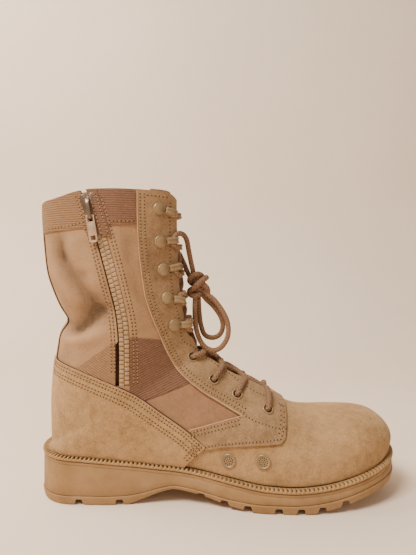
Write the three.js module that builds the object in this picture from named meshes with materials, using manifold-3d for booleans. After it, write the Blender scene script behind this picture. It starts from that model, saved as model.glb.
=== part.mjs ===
// A left combat boot: lugged rubber sole, knurled welt, hollow upper on a true last, side zip,
// eyelets, speed hooks and a round lace. Millimetres, +X to the toe, +Y to the outer (lateral)
// side, +Z up. The origin is on the ground under the middle of the heel.
import * as THREE from "three";
import { mergeVertices } from "three/addons/utils/BufferGeometryUtils.js";
import Module from "manifold-3d";

const wasm = await Module();
wasm.setup();

// ---------------------------------------------------------------- driving dimensions
const GAP = 0.3; // clearance between pieces that lie against each other
const WALL = 2.2; // upper: canvas or suede with its lining
const OVERLAY = 1.7; // counter and eyestays, standing proud of the upper

const HEEL_REAR = -35; // rearmost point of the sole
const TOE_TIP = 265.6; // foremost point of the sole
const BALL_X = 172; // widest section, where the toe's curve starts
const FOOT_REAR = -26.5; // rearmost point of the upper where it meets the welt
const FOOT_TIP = 261.5; // foremost point of the upper
const WELT_MARGIN = 5.5; // width of welt that shows beside the upper
const WELT_THICK = 3.4;
const WELT_LIP = 0.9; // how far the welt stands out beyond the midsole's wall
const INSOLE_RISE = 3; // the insole's top above the upper's lower edge

const COLLAR_Z = 252; // top edge of the shaft at its sides
const COLLAR_DIP = 6.5; // how much lower the collar is at the rear
const COLLAR_CORNER = 11; // rounding of the facings' top corners
const SHAFT_TOP = 258; // the last form runs on past the collar

const EYELET_OUTER = 9.3;
const EYELET_INNER = 6.4;
const EYELET_BARREL = 7.2;
const HOOK_CAP = 10.6;
const VENT_OUTER = 11.6;
const VENT_BARREL = 8;
const LACE = 4.4; // diameter of the round lace

// ---------------------------------------------------------------- tables
// Sole outline: half widths to the medial (-Y) and lateral (+Y) side of the heel-to-toe axis.
const SOLE_WIDTHS = [
  { x: 0, medial: 34.5, lateral: 35 },
  { x: 25, medial: 35.5, lateral: 38 },
  { x: 50, medial: 34, lateral: 41 },
  { x: 75, medial: 33.5, lateral: 44.5 },
  { x: 100, medial: 36.5, lateral: 48.5 },
  { x: 125, medial: 43.5, lateral: 53.5 },
  { x: 150, medial: 48.5, lateral: 56 },
  { x: BALL_X, medial: 50, lateral: 56.5 },
];
// Side view of the sole: upper face of the welt, parting line and tread line.
const SOLE_LEVELS = [
  { x: -35, top: 39.8, parting: 7, tread: 0 },
  { x: 20, top: 36.5, parting: 7.1, tread: 0 },
  { x: 41, top: 34.3, parting: 7.4, tread: 0 },
  { x: 53, top: 32.9, parting: 9, tread: 3.4 },
  { x: 68, top: 31, parting: 13, tread: 9 },
  { x: 80, top: 29.8, parting: 15, tread: 11.5 },
  { x: 92, top: 28.4, parting: 13.6, tread: 10 },
  { x: 110, top: 25.8, parting: 10.4, tread: 6.2 },
  { x: 126, top: 23.6, parting: 8.3, tread: 2.6 },
  { x: 142, top: 21.2, parting: 7.1, tread: 0.4 },
  { x: 152, top: 20.1, parting: 6.8, tread: 0 },
  { x: 172, top: 19.2, parting: 6.8, tread: 0 },
  { x: 185, top: 19.8, parting: 7.5, tread: 0 },
  { x: 202, top: 21.8, parting: 9.9, tread: 3 },
  { x: 218, top: 24.8, parting: 13.2, tread: 6.6 },
  { x: 238, top: 29.2, parting: 18, tread: 11.6 },
  { x: 256, top: 34.4, parting: 21.8, tread: 14.2 },
  { x: 265.6, top: 37.4, parting: 23.4, tread: 15 },
];
// Sections of the last, from the toe over the instep and up the shaft. Each lies in a plane
// through the top (or front) point and the foot (or back) point, square to the side view.
// medial, lateral: greatest half widths; widest: how far down they lie; crown: the power of
// the front curve, under 2 where it is peaked.
const LAST = [
  { topX: 264.2, topZ: 46, footX: 261.2, medial: 7, lateral: 5.5, widest: 0.6, crown: 2.4 },
  { topX: 263, topZ: 51.2, footX: 259.5, medial: 13, lateral: 11.5, widest: 0.6, crown: 2.4 },
  { topX: 260, topZ: 57, footX: 255.6, medial: 20.5, lateral: 19.5, widest: 0.6, crown: 2.4 },
  { topX: 255, topZ: 62.6, footX: 249.4, medial: 28, lateral: 27.5, widest: 0.61, crown: 2.4 },
  { topX: 247.5, topZ: 66.8, footX: 241, medial: 34.2, lateral: 34.2, widest: 0.62, crown: 2.35 },
  { topX: 235, topZ: 68.7, footX: 229, medial: 39.2, lateral: 40.6, widest: 0.63, crown: 2.3 },
  { topX: 218, topZ: 68.9, footX: 215, medial: 42.8, lateral: 45.8, widest: 0.64, crown: 2.25 },
  { topX: 202, topZ: 68.6, footX: 200.5, medial: 44.8, lateral: 49.2, widest: 0.65, crown: 2.15 },
  { topX: 188, topZ: 69.3, footX: 188, medial: 45.6, lateral: 51, widest: 0.66, crown: 2.05 },
  { topX: 176, topZ: 73, footX: 176, medial: 46, lateral: 52.4, widest: 0.67, crown: 1.9 },
  { topX: 163, topZ: 81, footX: 163, medial: 45.4, lateral: 52.4, widest: 0.68, crown: 1.75 },
  { topX: 150, topZ: 89.8, footX: 150, medial: 44, lateral: 51.6, widest: 0.68, crown: 1.68 },
  { topX: 137.7, topZ: 96.9, footX: 121, medial: 39.6, lateral: 49, widest: 0.66, crown: 1.64 },
  { topX: 126.8, topZ: 102.4, footX: 91, medial: 35.8, lateral: 44, widest: 0.62, crown: 1.6 },
  { topX: 118.3, topZ: 109.4, footX: 59, medial: 34.5, lateral: 39.6, widest: 0.58, crown: 1.57 },
  { topX: 111, topZ: 114.9, footX: 24, medial: 34.5, lateral: 37, widest: 0.56, crown: 1.55 },
  { topX: 106.2, topZ: 119.3, footX: -8, medial: 34.5, lateral: 36, widest: 0.55, crown: 1.52 },
  { topX: 104.2, topZ: 121.4, footX: -20, medial: 34.7, lateral: 36, widest: 0.54, crown: 1.5 },
  { topX: 103.2, topZ: 122.7, footX: FOOT_REAR, medial: 34.8, lateral: 36, widest: 0.53, crown: 1.5 },
  { topX: 101.5, topZ: 125.2, backX: -27.2, backZ: 56, medial: 35, lateral: 36, widest: 0.52, crown: 1.5 },
  { topX: 99.6, topZ: 129.2, backX: -27.4, backZ: 76, medial: 35.5, lateral: 36.3, widest: 0.51, crown: 1.5 },
  { topX: 98.2, topZ: 134.2, backX: -26.2, backZ: 97, medial: 36, lateral: 36.6, widest: 0.5, crown: 1.5 },
  { topX: 96.9, topZ: 139.7, backX: -24, backZ: 117, medial: 36, lateral: 36.6, widest: 0.49, crown: 1.5 },
  { topX: 95.7, topZ: 145.2, backX: -20.8, backZ: 134, medial: 35.8, lateral: 36.6, widest: 0.48, crown: 1.5 },
  { topX: 94.6, topZ: 151, backX: -17, backZ: 147, medial: 35.6, lateral: 36.6, widest: 0.47, crown: 1.5 },
  { topX: 93.4, topZ: 160, backX: -22.4, backZ: 159, medial: 36.2, lateral: 37, widest: 0.46, crown: 1.5 },
  { topX: 92.4, topZ: 172, backX: -27.4, backZ: 172, medial: 37, lateral: 37.4, widest: 0.46, crown: 1.5 },
  { topX: 91.8, topZ: 186, backX: -32, backZ: 186, medial: 37.8, lateral: 38, widest: 0.45, crown: 1.5 },
  { topX: 91.3, topZ: 203, backX: -34.2, backZ: 203, medial: 38, lateral: 38, widest: 0.45, crown: 1.5 },
  { topX: 91, topZ: 242, backX: -36.8, backZ: 242, medial: 38, lateral: 38, widest: 0.45, crown: 1.5 },
  { topX: 91, topZ: SHAFT_TOP, backX: -36.8, backZ: SHAFT_TOP, medial: 38, lateral: 38, widest: 0.45, crown: 1.5 },
];
// Throat: the last's front line again, with the opening's reach to each facing's edge.
const THROAT = [
  { x: 163, z: 81, medial: 3, lateral: 3 },
  { x: 160.5, z: 82.7, medial: 6.5, lateral: 7 },
  { x: 156, z: 85.7, medial: 8, lateral: 9 },
  { x: 137.7, z: 96.9, medial: 9, lateral: 10.5 },
  { x: 118.3, z: 109.4, medial: 9.5, lateral: 11 },
  { x: 104.2, z: 121.4, medial: 10, lateral: 12 },
  { x: 99.2, z: 130.5, medial: 11, lateral: 13 },
  { x: 97.8, z: 136, medial: 14.5, lateral: 17 },
  { x: 94.6, z: 151, medial: 16, lateral: 18.5 },
  { x: 91.8, z: 186, medial: 17.5, lateral: 20 },
  { x: 91, z: 222, medial: 18, lateral: 20.5 },
  { x: 91, z: 262, medial: 18, lateral: 20.5 },
];
// Zip: middle of the tooth chain in side view, bottom to top.
const ZIP_LINE = [
  { x: 39.3, z: 95 },
  { x: 39.5, z: 113 },
  { x: 39.2, z: 131 },
  { x: 37.8, z: 147 },
  { x: 34.4, z: 164 },
  { x: 29, z: 187 },
  { x: 22.8, z: 209 },
  { x: 16.4, z: 230 },
  { x: 9.2, z: 252 },
];
// Side-view outlines of the overlays that stand proud.
const COUNTER_EDGE = [
  { x: -40, z: 117 },
  { x: -18, z: 112 },
  { x: 0, z: 107.4 },
  { x: 20, z: 100.6 },
  { x: 43.5, z: 90.2 },
  { x: 71.6, z: 72 },
  { x: 89.7, z: 59.5 },
  { x: 104.6, z: 47.3 },
  { x: 87, z: 29 },
];
const EYESTAY_EDGE = [
  { x: 49.8, z: 256 },
  { x: 50.3, z: 220.6 },
  { x: 52, z: 194.9 },
  { x: 55.9, z: 168 },
  { x: 60.4, z: 152 },
  { x: 68.1, z: 132 },
  { x: 74.1, z: 117.8 },
  { x: 82.2, z: 104.4 },
  { x: 100.2, z: 89.6 },
  { x: 134.4, z: 70.6 },
  { x: 113.1, z: 65.6 },
  { x: 92.6, z: 60.8 },
  { x: 106.4, z: 48.9 },
  { x: 143.4, z: 51.2 },
  { x: 164.9, z: 52.6 },
  { x: 168.9, z: 56.6 },
  { x: 172.9, z: 72.8 },
  { x: 176, z: 84 },
  { x: 130, z: 128 },
  { x: 110, z: 170 },
  { x: 110, z: 256 },
];
// Eyelets, hooks and vents: places in side view.
const EYELETS = [
  { x: 154.6, z: 73.8 },
  { x: 130.6, z: 84.8 },
  { x: 111, z: 96.3 },
  { x: 93, z: 114.3 },
];
const HOOKS = [
  { x: 77.9, z: 142.2 },
  { x: 72.4, z: 164.8 },
  { x: 69.1, z: 187.9 },
  { x: 66.8, z: 210.8 },
  { x: 65.9, z: 237.4 },
];
const VENTS = [
  { x: 122.9, z: 37.8 },
  { x: 149.5, z: 39 },
];
// Tongue: front of its middle line, half width, and how far its edges lie behind the middle.
const TONGUE = [
  { x: 163, z: 71, half: 15, bow: 4, thick: 3 },
  { x: 151, z: 80, half: 18, bow: 8, thick: 4 },
  { x: 135, z: 90, half: 20, bow: 12, thick: 5 },
  { x: 115.5, z: 103, half: 20, bow: 14, thick: 5 },
  { x: 99.5, z: 116.5, half: 21, bow: 15, thick: 5 },
  { x: 88, z: 131, half: 24, bow: 16, thick: 5 },
  { x: 80.5, z: 150, half: 26, bow: 16, thick: 5 },
  { x: 77, z: 175, half: 27, bow: 16, thick: 5.5 },
  { x: 75, z: 205, half: 27, bow: 15, thick: 6 },
  { x: 74, z: 235, half: 26, bow: 14, thick: 6 },
  { x: 73.6, z: 254, half: 24, bow: 13, thick: 5 },
];

// ---------------------------------------------------------------- small helpers
const SIDES = [
  { name: "medial", sign: -1 },
  { name: "lateral", sign: 1 },
];

// Smooth value of a column at x, through the rows of a table sorted by x, with no overshoot.
function read(rows, column, x) {
  const last = rows.length - 1;
  if (x <= rows[0].x) return rows[0][column];
  if (x >= rows[last].x) return rows[last][column];
  const secant = (i) => (rows[i + 1][column] - rows[i][column]) / (rows[i + 1].x - rows[i].x);
  const slope = (i) => {
    if (i === 0) return secant(0);
    if (i === last) return secant(last - 1);
    const [before, after] = [secant(i - 1), secant(i)];
    return before * after > 0 ? (2 * before * after) / (before + after) : 0;
  };
  const i = rows.findIndex((row) => row.x > x) - 1;
  const span = rows[i + 1].x - rows[i].x;
  const rise = rows[i + 1][column] - rows[i][column];
  const t = (x - rows[i].x) / span;
  const pull = (1 - t) * (slope(i) * span - rise) - t * (slope(i + 1) * span - rise);
  return rows[i][column] + rise * t + t * (1 - t) * pull;
}

const risingPower = (value, power) => Math.pow(Math.max(value, 0), power);

// A closed surface from rings of equal length, with flat ends.
function loftGeometry(rings) {
  const count = rings[0].length;
  const positions = [];
  const quad = (a, b, c, d) => positions.push(a, b, c, a, c, d);
  for (let i = 0; i + 1 < rings.length; i += 1) {
    for (let j = 0; j < count; j += 1) {
      const k = (j + 1) % count;
      quad(rings[i][j], rings[i][k], rings[i + 1][k], rings[i + 1][j]);
    }
  }
  const cap = (ring, flip) => {
    const middle = new THREE.Vector3();
    ring.forEach((point) => middle.addScaledVector(point, 1 / count));
    for (let j = 0; j < count; j += 1) {
      const k = (j + 1) % count;
      if (flip) positions.push(middle, ring[j], ring[k]);
      else positions.push(middle, ring[k], ring[j]);
    }
  };
  cap(rings[0], false);
  cap(rings[rings.length - 1], true);
  return new THREE.BufferGeometry().setFromPoints(positions);
}

// A manifold-3d solid from any closed geometry, turned outwards if need be.
function solidOf(source) {
  const plain = source.index ? source.toNonIndexed() : source.clone();
  plain.deleteAttribute("normal");
  plain.deleteAttribute("uv");
  const merged = mergeVertices(plain, 1e-4);
  const index = merged.index.array;
  const triangles = [];
  for (let i = 0; i < index.length; i += 3) {
    const [a, b, c] = [index[i], index[i + 1], index[i + 2]];
    if (a !== b && b !== c && c !== a) triangles.push(a, b, c);
  }
  const build = () =>
    new wasm.Manifold(
      new wasm.Mesh({
        numProp: 3,
        vertProperties: merged.attributes.position.array,
        triVerts: new Uint32Array(triangles),
      }),
    );
  const made = build();
  if (made.volume() > 0) return made;
  triangles.reverse();
  return build();
}

function geometryOf(solid) {
  const mesh = solid.getMesh();
  const points = new Float32Array(mesh.numVert * 3);
  for (let i = 0; i < mesh.numVert; i += 1) {
    const start = i * mesh.numProp;
    points.set(mesh.vertProperties.subarray(start, start + 3), i * 3);
  }
  return new THREE.BufferGeometry()
    .setAttribute("position", new THREE.BufferAttribute(points, 3))
    .setIndex(new THREE.BufferAttribute(new Uint32Array(mesh.triVerts), 1));
}

// A prism across the boot: an outline in side view between two values of y.
function prism(outline, yFrom, yTo) {
  const shape = new THREE.Shape(outline.map((p) => new THREE.Vector2(p.x, p.z)));
  const geometry = new THREE.ExtrudeGeometry(shape, {
    depth: yTo - yFrom,
    bevelEnabled: false,
    steps: 1,
  });
  geometry.rotateX(Math.PI / 2);
  geometry.translate(0, yTo, 0);
  return solidOf(geometry);
}

// ---------------------------------------------------------------- sole
// Half width of a closed outline: table in the middle, power curves round heel and toe.
function halfWidth(side, x, rear, tip, margin) {
  const table = (at) => read(SOLE_WIDTHS, side, at) - margin;
  if (x < 0) {
    const share = Math.min(x / rear, 1);
    return table(0) * risingPower(1 - risingPower(share, 2.2), 1 / 2.1);
  }
  if (x > BALL_X) {
    const share = Math.min((x - BALL_X) / (tip - BALL_X), 1);
    const power = side === "medial" ? 2.7 : 1.95;
    return table(BALL_X) * risingPower(1 - risingPower(share, power), 0.5);
  }
  return table(x);
}

const soleLevel = (column, x) => read(SOLE_LEVELS, column, x);
const footHalf = (side, x) => halfWidth(side, x, FOOT_REAR, FOOT_TIP, WELT_MARGIN);

// Stations along the sole, close together where the outline turns round heel and toe.
function soleStations(rear, tip, steps) {
  const stations = [];
  for (let i = 0; i <= steps; i += 1) {
    const turn = (Math.PI * i) / steps;
    stations.push((rear + tip) / 2 - ((tip - rear) / 2) * Math.cos(turn));
  }
  return stations;
}

// A slab with the sole's outline, shrunk by inset, between two levels given as functions of x.
function soleSlab(inset, lower, upper, steps) {
  const rear = HEEL_REAR + inset;
  const tip = TOE_TIP - inset;
  const stations = soleStations(rear, tip, steps).slice(1, -1);
  const rings = stations.map((x) => {
    const medial = -halfWidth("medial", x, rear, tip, inset);
    const lateral = halfWidth("lateral", x, rear, tip, inset);
    return [
      new THREE.Vector3(x, medial, lower(x)),
      new THREE.Vector3(x, lateral, lower(x)),
      new THREE.Vector3(x, lateral, upper(x)),
      new THREE.Vector3(x, medial, upper(x)),
    ];
  });
  return solidOf(loftGeometry(rings));
}

const SOLE_STEPS = 26;
const LUG_DEPTH = 4.6;
const TREAD_FLOOR = 1.6; // rubber left above each groove

const SPINE = 15; // half width of the tread's middle, where the side notches end
const NOTCH_FOOT = 8.8; // width of a notch at the tread
const NOTCH_ROOF = 4.6; // its width at the top
const NOTCHES = [3.5, 36, 101, 119.5, 137.5, 161, 178, 194.5, 213]; // cut in from both sides
const GROOVES = [20, 110, 128.5, 149, 190, 207]; // cut across the middle only
const GROOVE_REACH = 10;

// A bevelled channel across the tread at x, from one side to the other.
function channel(x, yFrom, yTo) {
  const tread = soleLevel("tread", x);
  const below = 2; // the cutter starts this far under the tread
  const high = Math.min(tread + LUG_DEPTH, soleLevel("parting", x) - TREAD_FLOOR);
  const flare = ((NOTCH_FOOT - NOTCH_ROOF) / 2 / (high - tread)) * below;
  const foot = NOTCH_FOOT / 2 + flare;
  const outline = [
    { x: x - foot, z: tread - below },
    { x: x + foot, z: tread - below },
    { x: x + NOTCH_ROOF / 2, z: high },
    { x: x - NOTCH_ROOF / 2, z: high },
  ];
  return prism(outline, yFrom, yTo);
}

function outsole() {
  let tread = soleSlab(
    0.6,
    (x) => soleLevel("tread", x),
    (x) => soleLevel("parting", x) - GAP / 2,
    SOLE_STEPS,
  );
  NOTCHES.forEach((x) => {
    tread = tread.subtract(channel(x, -80, -SPINE)).subtract(channel(x, SPINE, 80));
  });
  GROOVES.forEach((x) => {
    tread = tread.subtract(channel(x, -GROOVE_REACH, GROOVE_REACH));
  });
  return tread;
}

const midsoleTop = (x) => soleLevel("top", x) - WELT_THICK - GAP;

const midsole = () =>
  soleSlab(WELT_LIP, (x) => soleLevel("parting", x) + GAP / 2, midsoleTop, SOLE_STEPS);

function welt() {
  const bottom = (x) => soleLevel("top", x) - WELT_THICK;
  const full = soleSlab(0, bottom, (x) => soleLevel("top", x), SOLE_STEPS);
  const core = insoleSlab(-GAP, (x) => bottom(x) - 8, (x) => soleLevel("top", x) + 8);
  return full.subtract(core);
}

// The space inside the upper's lower edge, shrunk by inset.
function insoleSlab(inset, lower, upper) {
  const shrink = WALL + GAP + inset;
  const rear = FOOT_REAR + shrink;
  const tip = FOOT_TIP - shrink;
  const rings = soleStations(rear, tip, SOLE_STEPS)
    .slice(1, -1)
    .map((x) => {
      const margin = WELT_MARGIN + shrink;
      const medial = -halfWidth("medial", x, rear, tip, margin);
      const lateral = halfWidth("lateral", x, rear, tip, margin);
      return [
        new THREE.Vector3(x, medial, lower(x)),
        new THREE.Vector3(x, lateral, lower(x)),
        new THREE.Vector3(x, lateral, upper(x)),
        new THREE.Vector3(x, medial, upper(x)),
      ];
    });
  return solidOf(loftGeometry(rings));
}


// ---------------------------------------------------------------- last and upper
const CROWN_STEPS = 4;
const FOOT_STEPS = 3;
const BACK_POWER = 2;

// Half of one section: points from the top (or front) down to the foot (or back).
function halfSection(row, side, sign) {
  const onSole = row.footX !== undefined;
  const foot = onSole
    ? { x: row.footX, z: soleLevel("top", row.footX) + GAP }
    : { x: row.backX, z: row.backZ };
  const footWidth = onSole ? footHalf(side, row.footX) : 0;
  const widest = row[side];
  const point = (down, width) =>
    new THREE.Vector3(
      row.topX + (foot.x - row.topX) * down,
      sign * width,
      row.topZ + (foot.z - row.topZ) * down,
    );
  const points = [];
  for (let i = 0; i <= CROWN_STEPS; i += 1) {
    const turn = (Math.PI / 2) * (i / CROWN_STEPS);
    const down = row.widest * (1 - risingPower(Math.cos(turn), 2 / row.crown));
    points.push(point(down, widest * risingPower(Math.sin(turn), 2 / row.crown)));
  }
  for (let i = 1; i <= FOOT_STEPS; i += 1) {
    const turn = (Math.PI / 2) * (i / FOOT_STEPS);
    const down = row.widest + (1 - row.widest) * risingPower(Math.sin(turn), 2 / BACK_POWER);
    const shape = risingPower(Math.cos(turn), 2 / BACK_POWER);
    points.push(point(down, footWidth + (widest - footWidth) * shape));
  }
  return points;
}

// The last as a grid: each row runs from the medial foot edge over the top to the lateral one.
const LAST_GRID = LAST.map((row) => {
  const medial = halfSection(row, "medial", -1).reverse();
  const lateral = halfSection(row, "lateral", 1).slice(1);
  return [...medial, ...lateral];
});

// Outward normals of the grid, from its neighbours both ways.
const LAST_NORMALS = LAST_GRID.map((ring, i) =>
  ring.map((point, j) => {
    const closed = LAST[i].footX === undefined;
    const count = ring.length;
    const next = j + 1 < count ? ring[j + 1] : closed ? ring[1] : point;
    const previous = j > 0 ? ring[j - 1] : closed ? ring[count - 2] : point;
    const above = LAST_GRID[Math.min(i + 1, LAST_GRID.length - 1)][j];
    const below = LAST_GRID[Math.max(i - 1, 0)][j];
    const around = new THREE.Vector3().subVectors(next, previous);
    const along = new THREE.Vector3().subVectors(above, below);
    const normal = new THREE.Vector3().crossVectors(along, around);
    return normal.normalize().negate();
  }),
);

// The last's solid moved outwards by offset; drop pushes its lower and upper ends on past the
// edges, for a form that only cuts.
function lastForm(offset, drop) {
  const rings = LAST_GRID.map((ring, i) => {
    const moved = ring.map((point, j) =>
      point.clone().addScaledVector(LAST_NORMALS[i][j], offset),
    );
    const onSole = LAST[i].footX !== undefined;
    const ends = [moved[0], moved[moved.length - 1]];
    if (onSole) {
      ends.forEach((end) => {
        end.z = soleLevel("top", end.x) + GAP;
      });
    }
    const lowered = ends.map((end) => end.clone());
    if (onSole && drop > 0) lowered.forEach((end) => (end.z -= drop));
    return [lowered[0], ...moved, lowered[1]];
  });
  if (drop > 0) {
    const top = rings[rings.length - 1].map((p) => p.clone().setZ(p.z + drop));
    rings.push(top);
  }
  return solidOf(loftGeometry(rings));
}

const OUTER_FORM = lastForm(0, 0);

// Point and outward normal of the outer surface at a place in side view.
const FORM_MESH = new THREE.Mesh(
  geometryOf(OUTER_FORM),
  new THREE.MeshBasicMaterial({ side: THREE.DoubleSide }),
);
function surfaceAt(place, sign) {
  const origin = new THREE.Vector3(place.x, sign * 300, place.z);
  const ray = new THREE.Raycaster(origin, new THREE.Vector3(0, -sign, 0));
  const hit = ray.intersectObject(FORM_MESH)[0];
  const normal = hit.face.normal.clone();
  if (normal.y * sign < 0) normal.negate();
  return { point: hit.point, normal };
}

// ---------------------------------------------------------------- cutters
// Unit normal of a side-view line at row i, pointing up and forward.
function lineNormal(rows, i) {
  const a = rows[Math.max(i - 1, 0)];
  const b = rows[Math.min(i + 1, rows.length - 1)];
  return new THREE.Vector3(b.z - a.z, 0, a.x - b.x).normalize();
}

// The opening between the facings, widened by extra.
function throatCutter(extra) {
  const rings = THROAT.map((row, i) => {
    const out = lineNormal(THROAT, i);
    const corner = (reach, y) =>
      new THREE.Vector3(row.x + out.x * reach, y, row.z + out.z * reach);
    const [left, right] = [-row.medial - extra, row.lateral + extra];
    return [corner(-16, left), corner(-16, right), corner(22, right), corner(22, left)];
  });
  return solidOf(loftGeometry(rings));
}

// Everything above the collar line: level at the sides, dipping to the rear, rounded in front.
function collarCutter() {
  const front = 82;
  const outline = [
    { x: -70, z: COLLAR_Z - COLLAR_DIP },
    { x: -32, z: COLLAR_Z - COLLAR_DIP },
    { x: -12, z: COLLAR_Z - COLLAR_DIP * 0.65 },
    { x: 8, z: COLLAR_Z - 0.4 },
    { x: front - COLLAR_CORNER, z: COLLAR_Z },
  ];
  for (let i = 1; i <= 4; i += 1) {
    const turn = (Math.PI / 2) * (i / 4);
    outline.push({
      x: front - COLLAR_CORNER + COLLAR_CORNER * Math.sin(turn),
      z: COLLAR_Z - COLLAR_CORNER + COLLAR_CORNER * Math.cos(turn),
    });
  }
  outline.push({ x: 130, z: COLLAR_Z - COLLAR_CORNER }, { x: 130, z: 300 }, { x: -70, z: 300 });
  return prism(outline, -80, 80);
}

// A band along the zip, from half width behind its middle line to half width before it.
function zipBand(behind, before, from, to, yFrom, yTo) {
  const rows = ZIP_LINE.slice(from, to);
  const edge = (distance) =>
    rows.map((row, i) => {
      const out = lineNormal(rows, i);
      return { x: row.x + out.x * distance, z: row.z + out.z * distance };
    });
  return prism([...edge(-behind), ...edge(before).reverse()], yFrom, yTo);
}

// Places a geometry that is built along +Z on the outer surface, with its x axis turned
// towards forward, lifted by lift.
function placed(geometry, place, sign, lift, forward) {
  const { point, normal } = surfaceAt(place, sign);
  const side = new THREE.Vector3().crossVectors(normal, forward).normalize();
  const ahead = new THREE.Vector3().crossVectors(side, normal).normalize();
  const turned = new THREE.Matrix4().makeBasis(ahead, side, normal);
  turned.setPosition(point.addScaledVector(normal, lift));
  return geometry.clone().applyMatrix4(turned);
}

const AHEAD = new THREE.Vector3(1, 0, 0);
const ROUND = 8; // sides of the small turned pieces

// A ring or disc from a half profile of radius and height.
function turnedRing(profile, segments) {
  const points = profile.map(([radius, height]) => new THREE.Vector2(radius, height));
  const geometry = new THREE.LatheGeometry(points, segments);
  return geometry.rotateX(Math.PI / 2);
}

const holePlug = (radius) =>
  turnedRing([[0, -12], [radius, -12], [radius, 12], [0, 12]], ROUND);

function drilled(solid, places, radius, sides) {
  let made = solid;
  sides.forEach((sign) => {
    places.forEach((place) => {
      made = made.subtract(solidOf(placed(holePlug(radius), place, sign, 0, AHEAD)));
    });
  });
  return made;
}

// ---------------------------------------------------------------- upper and overlays
const COLLAR = collarCutter();
const THROAT_CUT = throatCutter(0);
const ZIP_SLOT_BEHIND = 3.6;
const ZIP_SLOT_BEFORE = 5.4;

function upper() {
  let shell = OUTER_FORM.subtract(lastForm(-WALL, 8)).subtract(THROAT_CUT).subtract(COLLAR);
  shell = shell.subtract(zipBand(ZIP_SLOT_BEHIND, ZIP_SLOT_BEFORE, 0, 9, -80, -18));
  shell = drilled(shell, EYELETS, EYELET_BARREL / 2 + GAP, [-1, 1]);
  return drilled(shell, VENTS, VENT_BARREL / 2 + GAP, [-1]);
}

const OVERLAY_SHELL = lastForm(GAP + OVERLAY, 0).subtract(lastForm(GAP, 12));

function insole() {
  const top = (x) => soleLevel("top", x) + INSOLE_RISE;
  const slab = insoleSlab(GAP, (x) => midsoleTop(x) + GAP, top);
  return slab.intersect(lastForm(-WALL - GAP, 8));
}

function counter() {
  const outline = [...COUNTER_EDGE, { x: 87.5, z: 10 }, { x: -60, z: 10 }, { x: -60, z: 119 }];
  return OVERLAY_SHELL.intersect(prism(outline, -80, 80));
}

function eyestay(sign) {
  const [from, to] = sign < 0 ? [-80, -GAP] : [GAP, 80];
  const cut = OVERLAY_SHELL.intersect(prism(EYESTAY_EDGE, from, to));
  const open = cut.subtract(throatCutter(0)).subtract(COLLAR);
  return drilled(open, EYELETS, EYELET_BARREL / 2 + GAP, [sign]);
}

// ---------------------------------------------------------------- tongue
const TONGUE_POINTS = 4;

function tongue() {
  const rings = TONGUE.map((row, i) => {
    const out = lineNormal(TONGUE, i);
    const face = (depth) => {
      const points = [];
      for (let k = 0; k <= TONGUE_POINTS; k += 1) {
        const share = (2 * k) / TONGUE_POINTS - 1;
        const back = row.bow * share * share + depth;
        const y = row.half * share;
        points.push(new THREE.Vector3(row.x - out.x * back, y, row.z - out.z * back));
      }
      return points;
    };
    return [...face(0), ...face(row.thick).reverse()];
  });
  const inside = lastForm(-WALL - 2 * GAP, 8);
  return solidOf(loftGeometry(rings)).intersect(inside);
}

// ---------------------------------------------------------------- metal and zip
const SURFACE_LIFT = GAP * 3 + OVERLAY;

function eyelet(place, sign) {
  const outer = EYELET_OUTER / 2;
  const inner = EYELET_INNER / 2;
  const barrel = EYELET_BARREL / 2;
  const ring = turnedRing(
    [
      [inner, -4.6],
      [barrel, -4.6],
      [barrel, 0.3],
      [outer, 0.3],
      [outer - 0.5, 1],
      [inner, 1],
      [inner, -4.6],
    ],
    ROUND,
  );
  return placed(ring, place, sign, SURFACE_LIFT, AHEAD);
}

// A vent: a rimmed disc with its barrel through the wall.
function vent(place) {
  const outer = VENT_OUTER / 2;
  const disc = turnedRing(
    [
      [0, -2],
      [VENT_BARREL / 2, -2],
      [VENT_BARREL / 2, 0.2],
      [outer, 0.2],
      [outer - 0.4, 1.2],
      [outer - 1.6, 1.2],
      [outer - 1.8, 0.8],
      [0, 0.8],
    ],
    ROUND,
  );
  return placed(disc, place, -1, GAP, AHEAD);
}

// A speed hook: a domed rivet cap and a bent strap that reaches past the facing's edge.
const HOOK_STRAP = 5.4; // width of the strap
const HOOK_REACH = 15; // from the cap's middle to the strap's bend
const HOOK_SHEET = 0.9;
const HOOK_MOUTH = 4.9; // clear height inside the bend, for the lace

function hookGeometry() {
  const cap = turnedRing(
    [
      [0, 0],
      [HOOK_CAP / 2, 0],
      [HOOK_CAP / 2, 0.8],
      [HOOK_CAP / 2 - 1.6, 1.8],
      [0, 2.2],
    ],
    ROUND,
  );
  const half = HOOK_MOUTH / 2 + HOOK_SHEET;
  const bend = HOOK_REACH - half;
  const strap = new THREE.Shape();
  strap.moveTo(0, 0);
  strap.lineTo(bend, 0);
  strap.absarc(bend, half, half, -Math.PI / 2, Math.PI / 2, false);
  strap.lineTo(bend - 3, 2 * half);
  strap.lineTo(bend - 3, 2 * half - HOOK_SHEET);
  strap.lineTo(bend, 2 * half - HOOK_SHEET);
  strap.absarc(bend, half, HOOK_MOUTH / 2, Math.PI / 2, -Math.PI / 2, true);
  strap.lineTo(0, HOOK_SHEET);
  const body = new THREE.ExtrudeGeometry(strap, {
    depth: HOOK_STRAP,
    bevelEnabled: false,
    curveSegments: 2,
  });
  body.rotateX(Math.PI / 2);
  body.translate(0, HOOK_STRAP / 2, 0);
  return geometryOf(solidOf(cap).add(solidOf(body)));
}

const HOOK = hookGeometry();

const hook = (place, sign) => placed(HOOK, place, sign, SURFACE_LIFT, AHEAD);

function zipTape() {
  const layer = lastForm(-WALL - GAP, 0).subtract(lastForm(-WALL - GAP - 1.1, 8));
  return layer.intersect(zipBand(12, 12, 0, 9, -80, -10)).subtract(COLLAR);
}

function zipChain() {
  const layer = lastForm(0.6, 0).subtract(lastForm(-WALL, 8));
  return layer.intersect(zipBand(3.1, 3.1, 0, 8, -80, -18));
}

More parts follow.
